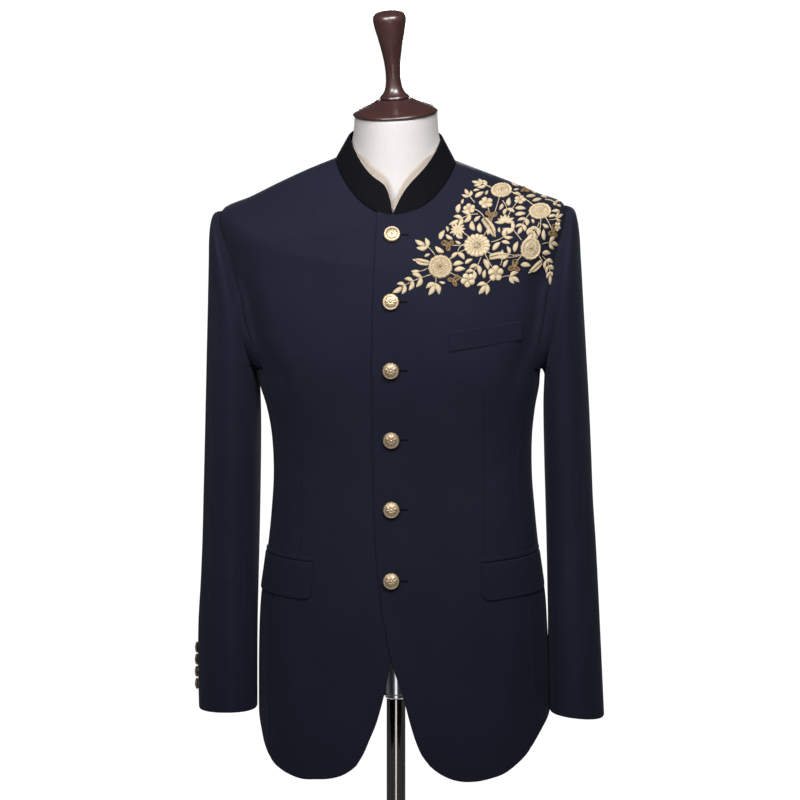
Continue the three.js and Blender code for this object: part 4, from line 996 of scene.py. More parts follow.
across, up = np.meshgrid(shares_with_edges(30, WELT["length"]), shares_with_edges(6, WELT["height"]))
low = WELT["inner_low"] + (WELT["outer_low"] - WELT["inner_low"]) * across
high = WELT["inner_high"] + (WELT["outer_high"] - WELT["inner_high"]) * across
x = WELT["inner"] + (WELT["outer"] - WELT["inner"]) * across
angle, level = front_place(x, low + (high - low) * up)
laid_piece("breast_welt", angle, level, WELT_OUT, ["bottom"])

for side, word in SIDES:
    first = angle_of(FLAP["start"], FLAP["top"])
    across, up = np.meshgrid(shares_with_edges(52, FLAP["width"]), shares_with_edges(12, FLAP["height"]))
    from_end = np.minimum(across, 1 - across) * FLAP["width"]
    in_corner = np.maximum(0, 1 - from_end / FLAP["corner"])
    rounded = FLAP["corner"] * (1 - np.sqrt(1 - in_corner**2)) * FLAP["roundness"]
    top = FLAP["top"] + FLAP["rise"][side] * across
    bottom = top - FLAP["height"] + rounded
    angle = side * (first + FLAP["reach"] * across)
    angle, level = in_order(side, angle, bottom + (top - bottom) * up)
    laid_piece(f"flap_{word}", angle, level, FLAP_OUT, ["top"])
    across, up = np.meshgrid(shares_with_edges(52, FLAP["width"]), np.linspace(0, 1, 9))
    angle = side * (first + FLAP["reach"] * across)
    level = FLAP["top"] + FLAP["rise"][side] * across + JETTING["gap"] + JETTING["height"] * up
    angle, level = in_order(side, angle, level)
    laid_piece(f"jetting_{word}", angle, level, JETTING_OUT, [])


# Front buttons and their buttonholes. Each button is a domed cap of pale gold-plated brass, pressed
# with a ring of petals inside a beaded rim and sewn on by its shank. Its hole is worked in dark silk
# across the left front's edge, so that the hole's inner end shows beside it.
BUTTON_HEIGHTS = [1340, 1257.5, 1171, 1081, 990.5, 899]
FRONT_BUTTON = {"radius": 10.85, "shank": 1.2, "beads": 44, "petals": 8}
CUFF_BUTTON = {"radius": 7.5, "shank": 2, "beads": 32, "petals": 6}
BUTTON_LIFT = 0.5
BUTTON_TURN = 37
HOLE = {"from": 8, "to": 20, "half": 1.1, "stitches": 26, "thread": 0.38, "bar": 0.5, "bar_half": 1.5}
NO_THREAD_WAY = np.array([0.31, -0.87, 0.38])


def closed_rings(rings):
    """Points and faces of a wall through closed rings of points, capped at both ends."""
    ids = np.arange(rings.shape[0] * rings.shape[1]).reshape(rings.shape[:2])
    after = np.roll(ids, -1, axis=1)
    faces = np.stack([ids[:-1], after[:-1], after[1:], ids[1:]], -1).reshape(-1, 4).tolist()
    return rings.reshape(-1, 3), faces + [ids[0, ::-1].tolist(), ids[-1].tolist()]


def thread_tube(points, radius, sides=6):
    """Round thread through a path of points, as points and faces."""
    points = np.asarray(points, float)
    way = unit(np.gradient(points, axis=0))
    aside = unit(np.cross(way, NO_THREAD_WAY))
    lift = np.cross(way, aside)
    turn = np.arange(sides) * math.tau / sides
    radius = np.broadcast_to(np.asarray(radius, float), (len(points),))
    ring = np.cos(turn)[None, :, None] * aside[:, None] + np.sin(turn)[None, :, None] * lift[:, None]
    return closed_rings(points[:, None] + ring * radius[:, None, None])


def frame_at(normal):
    """Two directions square to a normal: one across to the wearer's left, one up."""
    side_way = unit(np.cross(np.array([0, 0, 1.0]), normal))
    return side_way, np.cross(normal, side_way)


def button_form(button, segments):
    """Pressed face and turned back of a button, as points (across, up, out) and faces."""
    r, shank = button["radius"], button["shank"]
    rings = np.concatenate([np.linspace(0.02, 0.72, 20), np.linspace(0.74, 1.0, 14)])
    turn = np.arange(segments) * math.tau / segments
    share, turns = np.meshgrid(rings, turn, indexing="ij")
    dome = shank + r * (0.48 - 0.26 * share**2)
    petal = np.abs(np.cos(turns * button["petals"] / 2)) ** 0.6
    petal_ends = 1 - smooth_step(share, 0.5 + 0.12 * petal, 0.6 + 0.12 * petal)
    petals = smooth_step(share, 0.16, 0.3) * petal_ends * (0.35 + 0.65 * petal)
    boss = np.exp(-((share / 0.13) ** 4))
    beads = (0.6 + 0.4 * np.cos(turns * button["beads"])) * hump(share, 0.77, 0.035)
    rim = hump(share, 0.89, 0.07)
    out = dome + r * (0.05 * petals + 0.075 * boss + 0.035 * beads + 0.06 * rim)
    out -= 0.16 * r * smooth_step(share, 0.93, 1.0)
    back_share = np.array([0.97, 0.9, 0.5, 0.36, 0.34, 0.34])
    back_out = shank + np.array([0.14 * r, 0.02 * r, 0, 0, -0.3 * shank, -shank])
    share = np.concatenate([share, np.repeat(back_share[:, None], segments, 1)])
    out = np.concatenate([out, np.repeat(back_out[:, None], segments, 1)])
    points = np.stack([r * share * np.cos(turn), r * share * np.sin(turn), out], -1)
    return closed_rings(points[::-1])


def plated_brass():
    metal = Finish("gold_button", {"Metallic": 0.85, "Specular IOR Level": 0.5})
    where = metal.place_in_space()
    rubbed = metal.noise(where, 420, 3)
    cloud = metal.noise(where, 90, 2)
    metal.feed("Base Color", metal.mix(cloud, (0.3, 0.22, 0.13, 1), (0.48, 0.38, 0.26, 1)))
    metal.feed("Roughness", rubbed * 0.2 + 0.36)
    metal.bump(rubbed, 0.00008, 0.4)
    return metal.material


def dark_silk():
    silk = Finish("buttonhole_silk", {"Specular IOR Level": 0.05})
    fibre = silk.noise(silk.place_in_space(), 900, 2)
    silk.feed("Base Color", silk.mix(fibre, (0.001, 0.001, 0.002, 1), (0.003, 0.003, 0.005, 1)))
    silk.feed("Roughness", fibre * 0.3 + 0.45)
    return silk.material


gold_button = plated_brass()


def sew_button(name, button, segments, place, normal, turned=0.0):
    """A button at a place on the cloth, turned round its shank by an angle in radians."""
    side_way, up_way = frame_at(normal)
    across = side_way * math.cos(turned) + up_way * math.sin(turned)
    up = up_way * math.cos(turned) - side_way * math.sin(turned)
    points, faces = button_form(button, segments)
    points = place + points @ np.array([across, up, normal])
    make_piece(name, points, faces, gold_button, "gold_button", [name])


hole_parts = []
for i, height in enumerate(BUTTON_HEIGHTS):
    angle, level = front_place(0.0, height)
    place = body_at(angle, level, LAP_LIFT + BUTTON_LIFT)
    turned = math.radians(BUTTON_TURN * i)
    sew_button(f"button_{i + 1}", FRONT_BUTTON, 88, place, body_normal(angle, level), turned)
    steps = np.arange(HOLE["stitches"] * 2 + 1)
    zig = np.where(steps % 2 == 0, HOLE["half"], 0.15)
    run = HOLE["from"] + (HOLE["to"] - HOLE["from"]) * steps / steps[-1]
    for row in (1, -1):
        hole_angle, hole_level = front_place(run, height + row * zig)
        lift = LAP_LIFT - 0.05 + 0.35 * (steps % 2)
        hole_parts.append(thread_tube(body_at(hole_angle, hole_level, lift), HOLE["thread"], 5))
    bar = height + np.linspace(-HOLE["bar_half"], HOLE["bar_half"], 9)
    bar_angle, bar_level = front_place(np.full(9, HOLE["to"] + 0.3), bar)
    hole_parts.append(thread_tube(body_at(bar_angle, bar_level, LAP_LIFT + 0.1), HOLE["bar"], 6))
points, faces = joined(hole_parts)
# The same near-black silk serves the buttonholes, and the dart lines as painted shade.
dark_silk_and_seam_shade = dark_silk()
make_piece("buttonholes", points, faces, dark_silk_and_seam_shade, "navy_wool")

# Darts of the fronts: the cloth is folded in and sewn from under the chest down to the hip pocket.
# On the face the seam shows as a fine, dark line of painted shade: a tube of near-black silk, partly sunk
# in the cloth.
DART_PLACE = 117
DARTS = {LEFT: (1148, 930), RIGHT: (1075, 930)}
DART_RADIUS = 0.32
dart_shade_parts = []
for side, (high, low) in DARTS.items():
    heights = np.linspace(high, low, 80)
    angle, level = front_place(np.full(80, float(side * DART_PLACE)), heights)
    fold = crease_height(np.abs(angle) * MM_PER_DEGREE, level, FRONT_FOLDS)
    depth = fold + (lap_lift(np.full(80, float(DART_PLACE))) if side == LEFT else 0) - DART_RADIUS * 0.55
    # The near-black tube is painted shade along the dart's fold.
    dart_shade_parts.append(thread_tube(body_at(angle, level, depth), DART_RADIUS, 5))
points, faces = joined(dart_shade_parts)
make_piece("dart_seam_shade", points, faces, dark_silk_and_seam_shade, "navy_wool")

# Cuff buttons, four on the back seam of each sleeve, sewn close together. They are small copies of
# the front buttons.
CUFF_BUTTONS = {"count": 4, "first": 27, "pitch": 15.5, "past_seam": 2}
for side, word in SIDES:
    surface = sleeve_surface(side)
    for i in range(CUFF_BUTTONS["count"]):
        ring = LAST_RING - (CUFF_BUTTONS["first"] + CUFF_BUTTONS["pitch"] * i) / RING_PITCH
        turn = back_seam_turn(side, ring) + CUFF_BUTTONS["past_seam"]
        turns = np.full((len(RING_ROWS), 1), turn)
        seam, ways = sleeve_at(surface, turns, np.zeros(turns.shape))
        place = np.array([np.interp(ring, RING_ROWS, seam[:, 0, axis]) for axis in range(3)])
        normal = ways[int(np.argmin(np.abs(RING_ROWS - ring))), 0]
        sew_button(f"cuff_button_{word}_{i + 1}", CUFF_BUTTON, 64, place + normal * BUTTON_LIFT, normal)

# Embroidered spray of ordinary flowers and leaves, worked by hand over padding in pale gold thread.
# Satin stitch covers the leaves, couched cord makes stems and rims, and twisted antique-gold purl the
# small loops. Places are in mm as seen from the front, and ways in degrees from the wearer's left.
SPRAY_FOOT = 0.15
SPRIG_ANGLE = 40
LEAF_WIDTH = 0.47
CORDS = {
    # radius, height above the cloth
    "sprig": (0.5, 0.5),
    "stem": (0.55, 0.45),
    "rib": (0.5, 1.3),
}
CORD_STEP = 0.4
FERN = {"barbs": 9, "angle": 48, "barb_width": 3.4, "barb_height": 1.3}
LOOP_PETALS = [(0, 1.0), (115, 0.8), (-110, 0.75)]
ROSETTES = [
    # x, z, way, radius
    (137, 1395, 0, 15),
    (187, 1369, 20, 15.5),
    (176, 1323, 40, 15),
    (62, 1302, 10, 15.5),
]
ASTERS = [(108, 1328, 0, 17)]
BLOOMS = [
    (132, 1293, 0, 10.5),
    (97, 1285, 30, 9.5),
    (118, 1380, 18, 9.5),
    (161, 1383, 50, 8.5),
    (97, 1373, 10, 8),
    (209, 1349, 30, 6.5),
]
STARS = [
    # x, z, way, radius, number of leaves, angle between them
    (83, 1347, 9, 10.5, 11, 32.7),
    (143, 1356, 0, 12.5, 7, 30),
]
FERNS = [
    # x, z, way, length, width
    (115, 1362, -64, 34, 12),
    (123, 1313, 6, 25, 9.5),
    (190, 1306, -150, 24, 9.5),
    (48, 1306, 166, 19, 9),
]
LOOPS = [
    # x, z, way, length
    (124, 1364, 20, 9),
    (166, 1394, -28, 9),
    (203, 1342, 75, 10),
    (155, 1300, 80, 10),
    (72, 1328, 150, 9.5),
    (79, 1284, 45, 9),
]
LEAVES = [
    # x, z, way, length
    (104, 1346, 102, 15),
    (117, 1311, -68, 15),
    (78, 1304, 10, 14),
    (202, 1369, -12, 13),
    (152, 1391, -18, 12),
    (90, 1337, 150, 11),
    (198, 1362, 3, 12),
    (121, 1341, 60, 11),
    (172, 1340, 70, 11),
]
SPRIGS = [
    # from x, z, bend x, z, to x, z, pairs of leaves, leaf length, a leaf at the end
    (50, 1292, 30, 1286, 14, 1276, 3, 14, 1),
    (56, 1288, 58, 1284, 55, 1279, 1, 15, 1),
    (55, 1316, 50, 1324, 42, 1328, 1, 14.5, 1),
    (92, 1330, 84, 1326, 84, 1319, 1, 13, 0),
    (108, 1366, 98, 1367, 84, 1359, 2, 14, 1),
    (124, 1398, 116, 1402, 110, 1404, 2, 12.5, 1),
    (139, 1382, 143, 1378, 145, 1372, 1, 12, 0),
    (174, 1366, 168, 1360, 164, 1350, 2, 12.5, 1),
    (186, 1355, 184, 1348, 178, 1342, 2, 13, 1),
    (164, 1334, 158, 1342, 152, 1348, 1, 13, 0),
    (161, 1316, 154, 1314, 149, 1317, 1, 12, 0),
    (190, 1328, 197, 1331, 202, 1329, 1, 14, 1),
    (190, 1313, 200, 1304, 200, 1288, 3, 13, 1),
    (199, 1358, 206, 1358, 210, 1360, 1, 11, 1),
    (113, 1313, 110, 1303, 104, 1296, 2, 13, 0),
    (138, 1303, 140, 1310, 140, 1312, 1, 11, 1),
    (140, 1288, 148, 1291, 152, 1288, 1, 13, 1),
    (126, 1285, 122, 1282, 119, 1278, 1, 14, 1),
    (126, 1332, 138, 1334, 146, 1342, 1, 13, 1),
    (193, 1382, 202, 1382, 208, 1376, 1, 11, 1),
    (104, 1380, 98, 1386, 96, 1390, 1, 11, 1),
    (46, 1300, 40, 1296, 36, 1296, 0, 11, 1),
]
STEMS = [
    # from x, z, bend x, z, to x, z
    (62, 1302, 84, 1322, 108, 1328),
    (108, 1328, 128, 1352, 137, 1396),
    (108, 1328, 148, 1300, 176, 1323),
    (176, 1323, 192, 1346, 187, 1369),
    (137, 1396, 160, 1392, 187, 1369),
    (108, 1328, 96, 1342, 83, 1347),
    (72, 1328, 90, 1328, 108, 1328),
    (62, 1302, 80, 1290, 97, 1285),
    (118, 1318, 124, 1306, 132, 1293),
    (117, 1360, 112, 1372, 97, 1373),
    (118, 1380, 122, 1372, 124, 1364),
    (161, 1383, 152, 1376, 143, 1356),
    (176, 1323, 158, 1312, 155, 1300),
    (187, 1369, 200, 1356, 203, 1342),
    (176, 1323, 186, 1316, 190, 1306),
]
SPRAY_BOX = {"x": (-20, 246), "z": (1240, 1440), "step": 2}
box_steps = [np.arange(*SPRAY_BOX[axis], SPRAY_BOX["step"]) for axis in "xz"]
box_x, box_z = np.meshgrid(*box_steps, indexing="ij")
box_depth = body_point(*front_place(box_x, box_z))[..., 1]
slope_across, slope_up = np.gradient(box_depth, SPRAY_BOX["step"])


def foreshortening(x, z):
    """How much a short step across and a short step up shrink, seen from the front."""
    i = int(round((x - SPRAY_BOX["x"][0]) / SPRAY_BOX["step"]))
    k = int(round((z - SPRAY_BOX["z"][0]) / SPRAY_BOX["step"]))
    around = (slice(i - 1, i + 2), slice(k - 1, k + 2))
    return [1 / math.hypot(1, np.mean(slope[around])) for slope in (slope_across, slope_up)]


class Stitching:
    """Gathers the pieces of one kind of embroidery, laid on the coat, to be joined in one mesh."""

    def __init__(self):
        self.flat, self.threads, self.faces, self.count = [], [], [], 0

    def lay(self, flat_x, flat_z, out, stitch_x, stitch_y, relief_shade, faces):
        """Adds points that are flat in the front view and stand out from the cloth by a height. A share for
        each point sets its painted shade, darker where the relief is low.
        """
        self.flat.append(np.stack(np.broadcast_arrays(flat_x, flat_z, out), -1).reshape(-1, 3))
        threads = np.broadcast_arrays(stitch_x, stitch_y, relief_shade)
        self.threads.append(np.stack(threads, -1).reshape(-1, 3))
        self.faces += (np.asarray(faces) + self.count).tolist()
        self.count += len(self.flat[-1])

    def piece(self, name, finish, replaced=()):
        flat, threads = np.concatenate(self.flat), np.concatenate(self.threads)
        angle, level = front_place(flat[:, 0], flat[:, 1])
        points = body_at(angle, level, flat[:, 2] + lap_lift(flat[:, 0]))
        piece = make_piece(name, points, self.faces, finish, "gold_thread", replaced, threads[:, :2])
        # The shares go on the mesh as an attribute that paints shade into the thread's low parts.
        relief_shade = piece.data.attributes.new("relief_shade", "FLOAT", "POINT")
        relief_shade.data.foreach_set("value", threads[:, 2].astype(np.float32))
        return piece


def shrunk(x, z, across, up, way=0.0):
    """Points of a motif turned and set at a place, with their true size on the sloping cloth."""
    turn = np.radians(way)
    shrink_x, shrink_z = foreshortening(x, z)
    flat_x = x + shrink_x * (across * np.cos(turn) - up * np.sin(turn))
    flat_z = z + shrink_z * (across * np.sin(turn) + up * np.cos(turn))
    return flat_x, flat_z


LEAF_ROWS, LEAF_COLUMNS = 15, 9
leaf_shares = (1 - np.cos(np.linspace(0, math.pi, LEAF_ROWS))) / 2
leaf_run, leaf_side = np.meshgrid(leaf_shares, np.linspace(-1, 1, LEAF_COLUMNS), indexing="ij")


def lay_leaf(work, x, z, way, length, width=None, height=1.5, bend=0.1, foot=0.0):
    """Padded satin-stitch leaf from its stalk at a place, curved a little to one side."""
    width = length * LEAF_WIDTH if width is None else width
    swell = np.sin(math.pi * leaf_run**0.85) ** 0.75
    along = length * leaf_run
    beside = width / 2 * swell * leaf_side + bend * length * np.sin(math.pi * leaf_run)
    dome = np.sqrt(np.maximum(0, 1 - leaf_side**2)) * swell**0.7
    flat_x, flat_z = shrunk(x, z, along, beside, way)
    ids = grid_faces(LEAF_ROWS, LEAF_COLUMNS, 0, flip=True)
    # Painted shade: the leaf's colour darkens towards its thin edges.
    relief_shade = 0.25 + 0.75 * dome
    work.lay(flat_x, flat_z, SPRAY_FOOT + foot + height * dome, along, np.abs(beside) * 1.4, relief_shade, ids)


def lay_disc(work, x, z, way, radius, outline, height, rings, segments):
    """Round worked motif. outline gives its edge and height its relief, by share and turn."""
    turn = np.arange(segments + 1) * math.tau / segments
    share, turn = np.meshgrid(np.linspace(0.02, 1, rings), turn, indexing="ij")
    reach = radius * share * outline(turn)
    flat_x, flat_z = shrunk(x, z, reach * np.cos(turn), reach * np.sin(turn), way)
    relief = height(share, turn)
    # Painted shade: the low parts of the relief, between petals and knots, are darker.
    relief_shade = 0.12 + 0.88 * smooth_step(relief, 0.2, 1.5)
    faces = grid_faces(rings, segments + 1)
    work.lay(flat_x, flat_z, SPRAY_FOOT + relief, turn * radius * 0.6, reach, relief_shade, faces)


def curve_points(x0, z0, bend_x, bend_z, x1, z1, count):
    t = np.linspace(0, 1, count)
    x = (1 - t) ** 2 * x0 + 2 * t * (1 - t) * bend_x + t * t * x1
    z = (1 - t) ** 2 * z0 + 2 * t * (1 - t) * bend_z + t * t * z1
    return x, z


def lay_cord(work, x, z, radius, height):
    """Twisted cord of two strands, couched down along a path in the front view."""
    run = np.concatenate([[0], np.cumsum(np.hypot(np.diff(x), np.diff(z)))])
    dense = np.arange(0, run[-1], CORD_STEP)
    middle_x, middle_z = np.interp(dense, run, x), np.interp(dense, run, z)
    way_x, way_z = np.gradient(middle_x), np.gradient(middle_z)
    length = np.hypot(way_x, way_z)
    around = np.arange(7) * math.tau / 6
    for strand in (0, math.pi):
        phase = dense / (radius * 2.4) + strand
        aside = radius * (0.5 * np.cos(phase)[:, None] + 0.62 * np.cos(around))
        out = height + radius * (0.5 * np.sin(phase)[:, None] + 0.62 * np.sin(around))
        flat_x = middle_x[:, None] - (way_z / length)[:, None] * aside
        flat_z = middle_z[:, None] + (way_x / length)[:, None] * aside
        # Painted shade: the lower side of each strand is darker.
        relief_shade = np.clip(0.35 + 0.65 * (out - height) / radius, 0, 1)
        faces = grid_faces(len(dense), 7, 0, flip=True)
        work.lay(flat_x, flat_z, SPRAY_FOOT + np.maximum(out, 0), dense[:, None] * 0.6, aside, relief_shade, faces)


def gold_thread(name, deep, dark, light, metal):
    """Shiny metallic thread. Fine stitches lie side by side, and their feet are painted darker as shade:
    the colour goes towards deep where the relief is low.
    """
    thread = Finish(name, {"Specular IOR Level": 0.5})
    along, beside = thread.parts(thread.place_on_cloth())
    waver = thread.noise(thread.place_on_cloth(), 260, 2)
    stitch = ((along + beside * 0.45 + waver * 0.0004) * (math.tau / 0.00075)).math("SINE") * 0.5 + 0.5
    patch = thread.noise(thread.place_in_space(), 160, 2)
    relief_shade = thread.node("ShaderNodeAttribute", {"attribute_name": "relief_shade"}, {}, "Fac")
    worked = thread.mix(stitch * 0.5 + patch * 0.7 - 0.1, dark, light)
    # Painted shade: where the relief share is low, the colour goes to deep.
    thread.feed("Base Color", thread.mix(relief_shade.math("POWER", 0.6), deep, worked))
    thread.feed("Roughness", 0.64 - stitch * 0.16)
    thread.feed("Metallic", patch * 0.1 + metal)
    thread.bump(stitch, 0.00025, 0.8)
    return thread.material


# For each thread, the first colour is the painted shade of its crevices and feet.
pale_gold = gold_thread(
    "gold_thread", (0.08, 0.044, 0.018, 1), (0.368, 0.28, 0.16, 1), (0.64, 0.536, 0.368, 1), 0.05,
)
antique_gold = gold_thread(
    "antique_thread", (0.03, 0.015, 0.006, 1), (0.1, 0.055, 0.022, 1), (0.34, 0.22, 0.1, 1), 0.3,
)

leaf_work, flower_work, cord_work, purl_work = Stitching(), Stitching(), Stitching(), Stitching()
for x, z, way, length in LEAVES:
    lay_leaf(leaf_work, x, z, way, length)
for x0, z0, bend_x, bend_z, x1, z1, pairs, length, tip in SPRIGS:
    path_x, path_z = curve_points(x0, z0, bend_x, bend_z, x1, z1, 25)
    lay_cord(cord_work, path_x, path_z, *CORDS["sprig"])
    for pair in range(1, pairs + 1):
        i = min(int(24 * pair / (pairs + 0.3 * tip)), 23)
        way = math.degrees(math.atan2(path_z[i + 1] - path_z[i], path_x[i + 1] - path_x[i]))
        for hand in (1, -1):
            own = length * (1.04 - 0.07 * pair + 0.05 * hand)
            lay_leaf(leaf_work, path_x[i], path_z[i], way + hand * SPRIG_ANGLE, own, bend=0.1 * hand)
    if tip:
        way = math.degrees(math.atan2(path_z[-1] - path_z[-3], path_x[-1] - path_x[-3]))
        lay_leaf(leaf_work, x1, z1, way, length, bend=0.05)
for x, z, way, radius, count, gap in STARS:
    for k in range(count):
        own = way + gap * k
        reach = radius * (1 + 0.1 * math.sin(2.3 * k))
        lay_leaf(leaf_work, x, z, own, reach, reach * 0.4, 1.6, 0.02, 0.1)
for row in STEMS:
    path_x, path_z = curve_points(*row, 40)
    lay_cord(cord_work, path_x, path_z, *CORDS["stem"])
for x, z, way, length, width in FERNS:
    bend = 0.06 * length * np.sin(np.linspace(0, 3, 20))
    path_x, path_z = shrunk(x, z, np.linspace(0, length, 20), bend, way)
    lay_cord(purl_work, path_x, path_z, *CORDS["rib"])
    for k in range(FERN["barbs"]):
        share = (k + 0.6) / (FERN["barbs"] + 0.6)
        i = int(share * 19)
        reach = width * (0.36 + 0.64 * math.sin(math.pi * min(1, share + 0.16)) ** 0.7) * 0.62
        for hand in (1, -1):
            own = way + FERN["angle"] * hand
            shape = (reach, FERN["barb_width"], FERN["barb_height"], 0.06 * hand)
            lay_leaf(leaf_work, path_x[i], path_z[i], own, *shape)
    lay_leaf(leaf_work, path_x[-4], path_z[-4], way, 6, 2.8, 1.2)


def rosette_edge(turn):
    return 0.96 + 0.05 * np.abs(np.cos(7 * turn)) ** 0.8


def rosette_relief(share, turn):
    """Rope-like rim round a domed middle of short, wandering rows of knots."""
    rope = hump(share, 0.85, 0.1) * (0.7 + 0.3 * np.cos(34 * turn + 20 * share))
    inner = hump(share, 0.64, 0.055) * (0.7 + 0.3 * np.cos(26 * turn - 14 * share))
    wander = 26 * share + 2.2 * np.sin(3 * turn + 1) + 1.1 * np.sin(7 * turn)
    knots = np.clip(0.5 + 0.62 * np.cos(wander) * np.cos(9 * turn + 6 * share), 0, 1)
    middle = (1 - smooth_step(share, 0.52, 0.62)) * (0.3 + 1.7 * knots)
    edge = 1 - smooth_step(share, 0.96, 1.0)
    return (2.3 * rope + 1.3 * inner + middle + 0.1) * edge


def petal_ring(share, turn, waves, start, width, phase=0.0, fullness=0.6, roundness=0.6):
    """Height of a ring of petals, two for each wave, from one share of the radius outwards."""
    across = np.abs(np.cos(waves * turn + phase)) ** fullness
    return across * np.sin(math.pi * np.clip((share - start) / width, 0, 1)) ** roundness


def aster_edge(turn):
    return 0.93 + 0.07 * np.abs(np.cos(8 * turn)) ** 0.7


def aster_relief(share, turn):
    """Two rings of plump petals round a ring of beads."""
    outer = petal_ring(share, turn, 8, 0.56, 0.44)
    inner = petal_ring(share, turn, 6.5, 0.26, 0.34, 0.6)
    beads = (0.5 + 0.5 * np.cos(7 * turn)) * hump(share, 0.17, 0.06) + hump(share, 0, 0.06)
    return 2.1 * outer + 1.9 * inner + 1.5 * beads + 0.1


def bloom_edge(turn):
    return 0.68 + 0.32 * np.abs(np.cos(2.5 * turn)) ** 0.55


def bloom_relief(share, turn):
    """Five round petals round one knot."""
    petals = petal_ring(share, turn, 2.5, 0.16, 0.84, 0.0, 0.7, 0.5)
    return 2.0 * petals + 1.4 * hump(share, 0, 0.13) + 0.1


for x, z, way, radius in ROSETTES:
    lay_disc(flower_work, x, z, way, radius, rosette_edge, rosette_relief, 34, 180)
for x, z, way, radius in ASTERS:
    lay_disc(flower_work, x, z, way, radius, aster_edge, aster_relief, 34, 180)
for x, z, way, radius in BLOOMS:
    lay_disc(flower_work, x, z, way + 90, radius, bloom_edge, bloom_relief, 22, 100)
for x, z, way, length in LOOPS:
    for k, (turn, size) in enumerate(LOOP_PETALS):
        t = np.linspace(0, math.tau, 30)
        along = size * length * 0.5 * (1 - np.cos(t))
        beside = size * length * 0.3 * np.sin(t) * (1 - 0.3 * np.cos(t))
        outer = shrunk(x, z, along, beside, way + turn)
        inner = shrunk(x, z, along * 0.62 + 0.6, beside * 0.5, way + turn)
        lay_cord(purl_work, *outer, 1.0, 0.9 + 0.3 * k)
        lay_cord(purl_work, *inner, 0.7, 0.8 + 0.3 * k)

# Small filling leaves between the motifs, wherever the ground still shows, turned away from the
# nearest flower.
SPRAY_OUTLINE = [
    # x, z
    (6, 1280), (36, 1308), (62, 1338), (72, 1360), (88, 1386), (110, 1403), (150, 1403), (204, 1382),
    (208, 1340), (201, 1306), (196, 1288), (172, 1303), (124, 1284), (62, 1281),
]
FILL_LENGTHS = (14.5, 11.5, 8.5)
FILL_TURNS = (20, -25, 65, -70, 115, -120)
FILL_STEP = 2.7
FILL_RANGE = {"x": (4, 212), "z": (1276, 1408)}
FILL_CELL, FILL_GAP_CELLS = 0.5, 2


def inside_outline(x, z):
    """Whether a place lies within the spray's outline, by counting the edges to its right."""
    crossings = 0
    for (x0, z0), (x1, z1) in zip(SPRAY_OUTLINE, SPRAY_OUTLINE[1:] + SPRAY_OUTLINE[:1]):
        if (z0 > z) != (z1 > z):
            crossings += x < x0 + (z - z0) / (z1 - z0) * (x1 - x0)
    return crossings % 2 == 1


def cells_of(x, z):
    """Column and row of the small square cells in which these places lie."""
    column = np.round((np.asarray(x) - SPRAY_BOX["x"][0]) / FILL_CELL).astype(int)
    row = np.round((np.asarray(z) - SPRAY_BOX["z"][0]) / FILL_CELL).astype(int)
    return column, row


cell_counts = [int((SPRAY_BOX[axis][1] - SPRAY_BOX[axis][0]) / FILL_CELL) + 1 for axis in "xz"]
cell_x, cell_z = np.meshgrid(*(np.arange(count) * FILL_CELL for count in cell_counts), indexing="ij")
taken = np.zeros(cell_counts, bool)
for work in (leaf_work, flower_work, cord_work, purl_work):
    laid = np.concatenate(work.flat)
    taken[cells_of(laid[:, 0], laid[:, 1])] = True
for x, z, _, radius in ROSETTES + ASTERS:
    shrink_x, shrink_z = foreshortening(x, z)
    away_x = (cell_x + SPRAY_BOX["x"][0] - x) / shrink_x
    away_z = (cell_z + SPRAY_BOX["z"][0] - z) / shrink_z
    taken |= np.hypot(away_x, away_z) < radius + 0.5
centres = np.array([row[:2] for row in ROSETTES + ASTERS + BLOOMS])
probe_run, probe_side = np.meshgrid(np.linspace(0.06, 1.04, 12), np.linspace(-1, 1, 5), indexing="ij")
probe_half = LEAF_WIDTH / 2 * np.sin(math.pi * np.minimum(probe_run, 1)) ** 0.8
near_steps = range(-FILL_GAP_CELLS, FILL_GAP_CELLS + 1)


def is_free(x, z):
    """Whether no stitches lie near any of these places."""
    column, row = cells_of(x, z)
    return not any(taken[column + i, row + k].any() for i in near_steps for k in near_steps)


def fill_from(x, z, length):
    """Lays a leaf with its stalk here, in the first direction in which it has room."""
    near = centres[np.argmin(np.hypot(centres[:, 0] - x, centres[:, 1] - z))]
    outward = math.degrees(math.atan2(z - near[1], x - near[0]))
    for turn in FILL_TURNS:
        along, beside = length * probe_run, length * probe_side * probe_half
        probe_x, probe_z = shrunk(x, z, along, beside, outward + turn)
        if inside_outline(probe_x[-1, 2], probe_z[-1, 2]) and is_free(probe_x, probe_z):
            lay_leaf(leaf_work, x, z, outward + turn, length, bend=0.06)
            laid = leaf_work.flat[-1]
            taken[cells_of(laid[:, 0], laid[:, 1])] = True
            return


for length in FILL_LENGTHS:
    for x in np.arange(*FILL_RANGE["x"], FILL_STEP):
        for z in np.arange(*FILL_RANGE["z"], FILL_STEP):
            if inside_outline(x, z) and is_free(x, z):
                fill_from(x, z, length)

leaf_work.piece("shoulder_embroidery", pale_gold, ["shoulder_embroidery"])
flower_work.piece("embroidered_flowers", pale_gold)
cord_work.piece("embroidered_stems", pale_gold)
purl_work.piece("embroidered_purl", antique_gold)

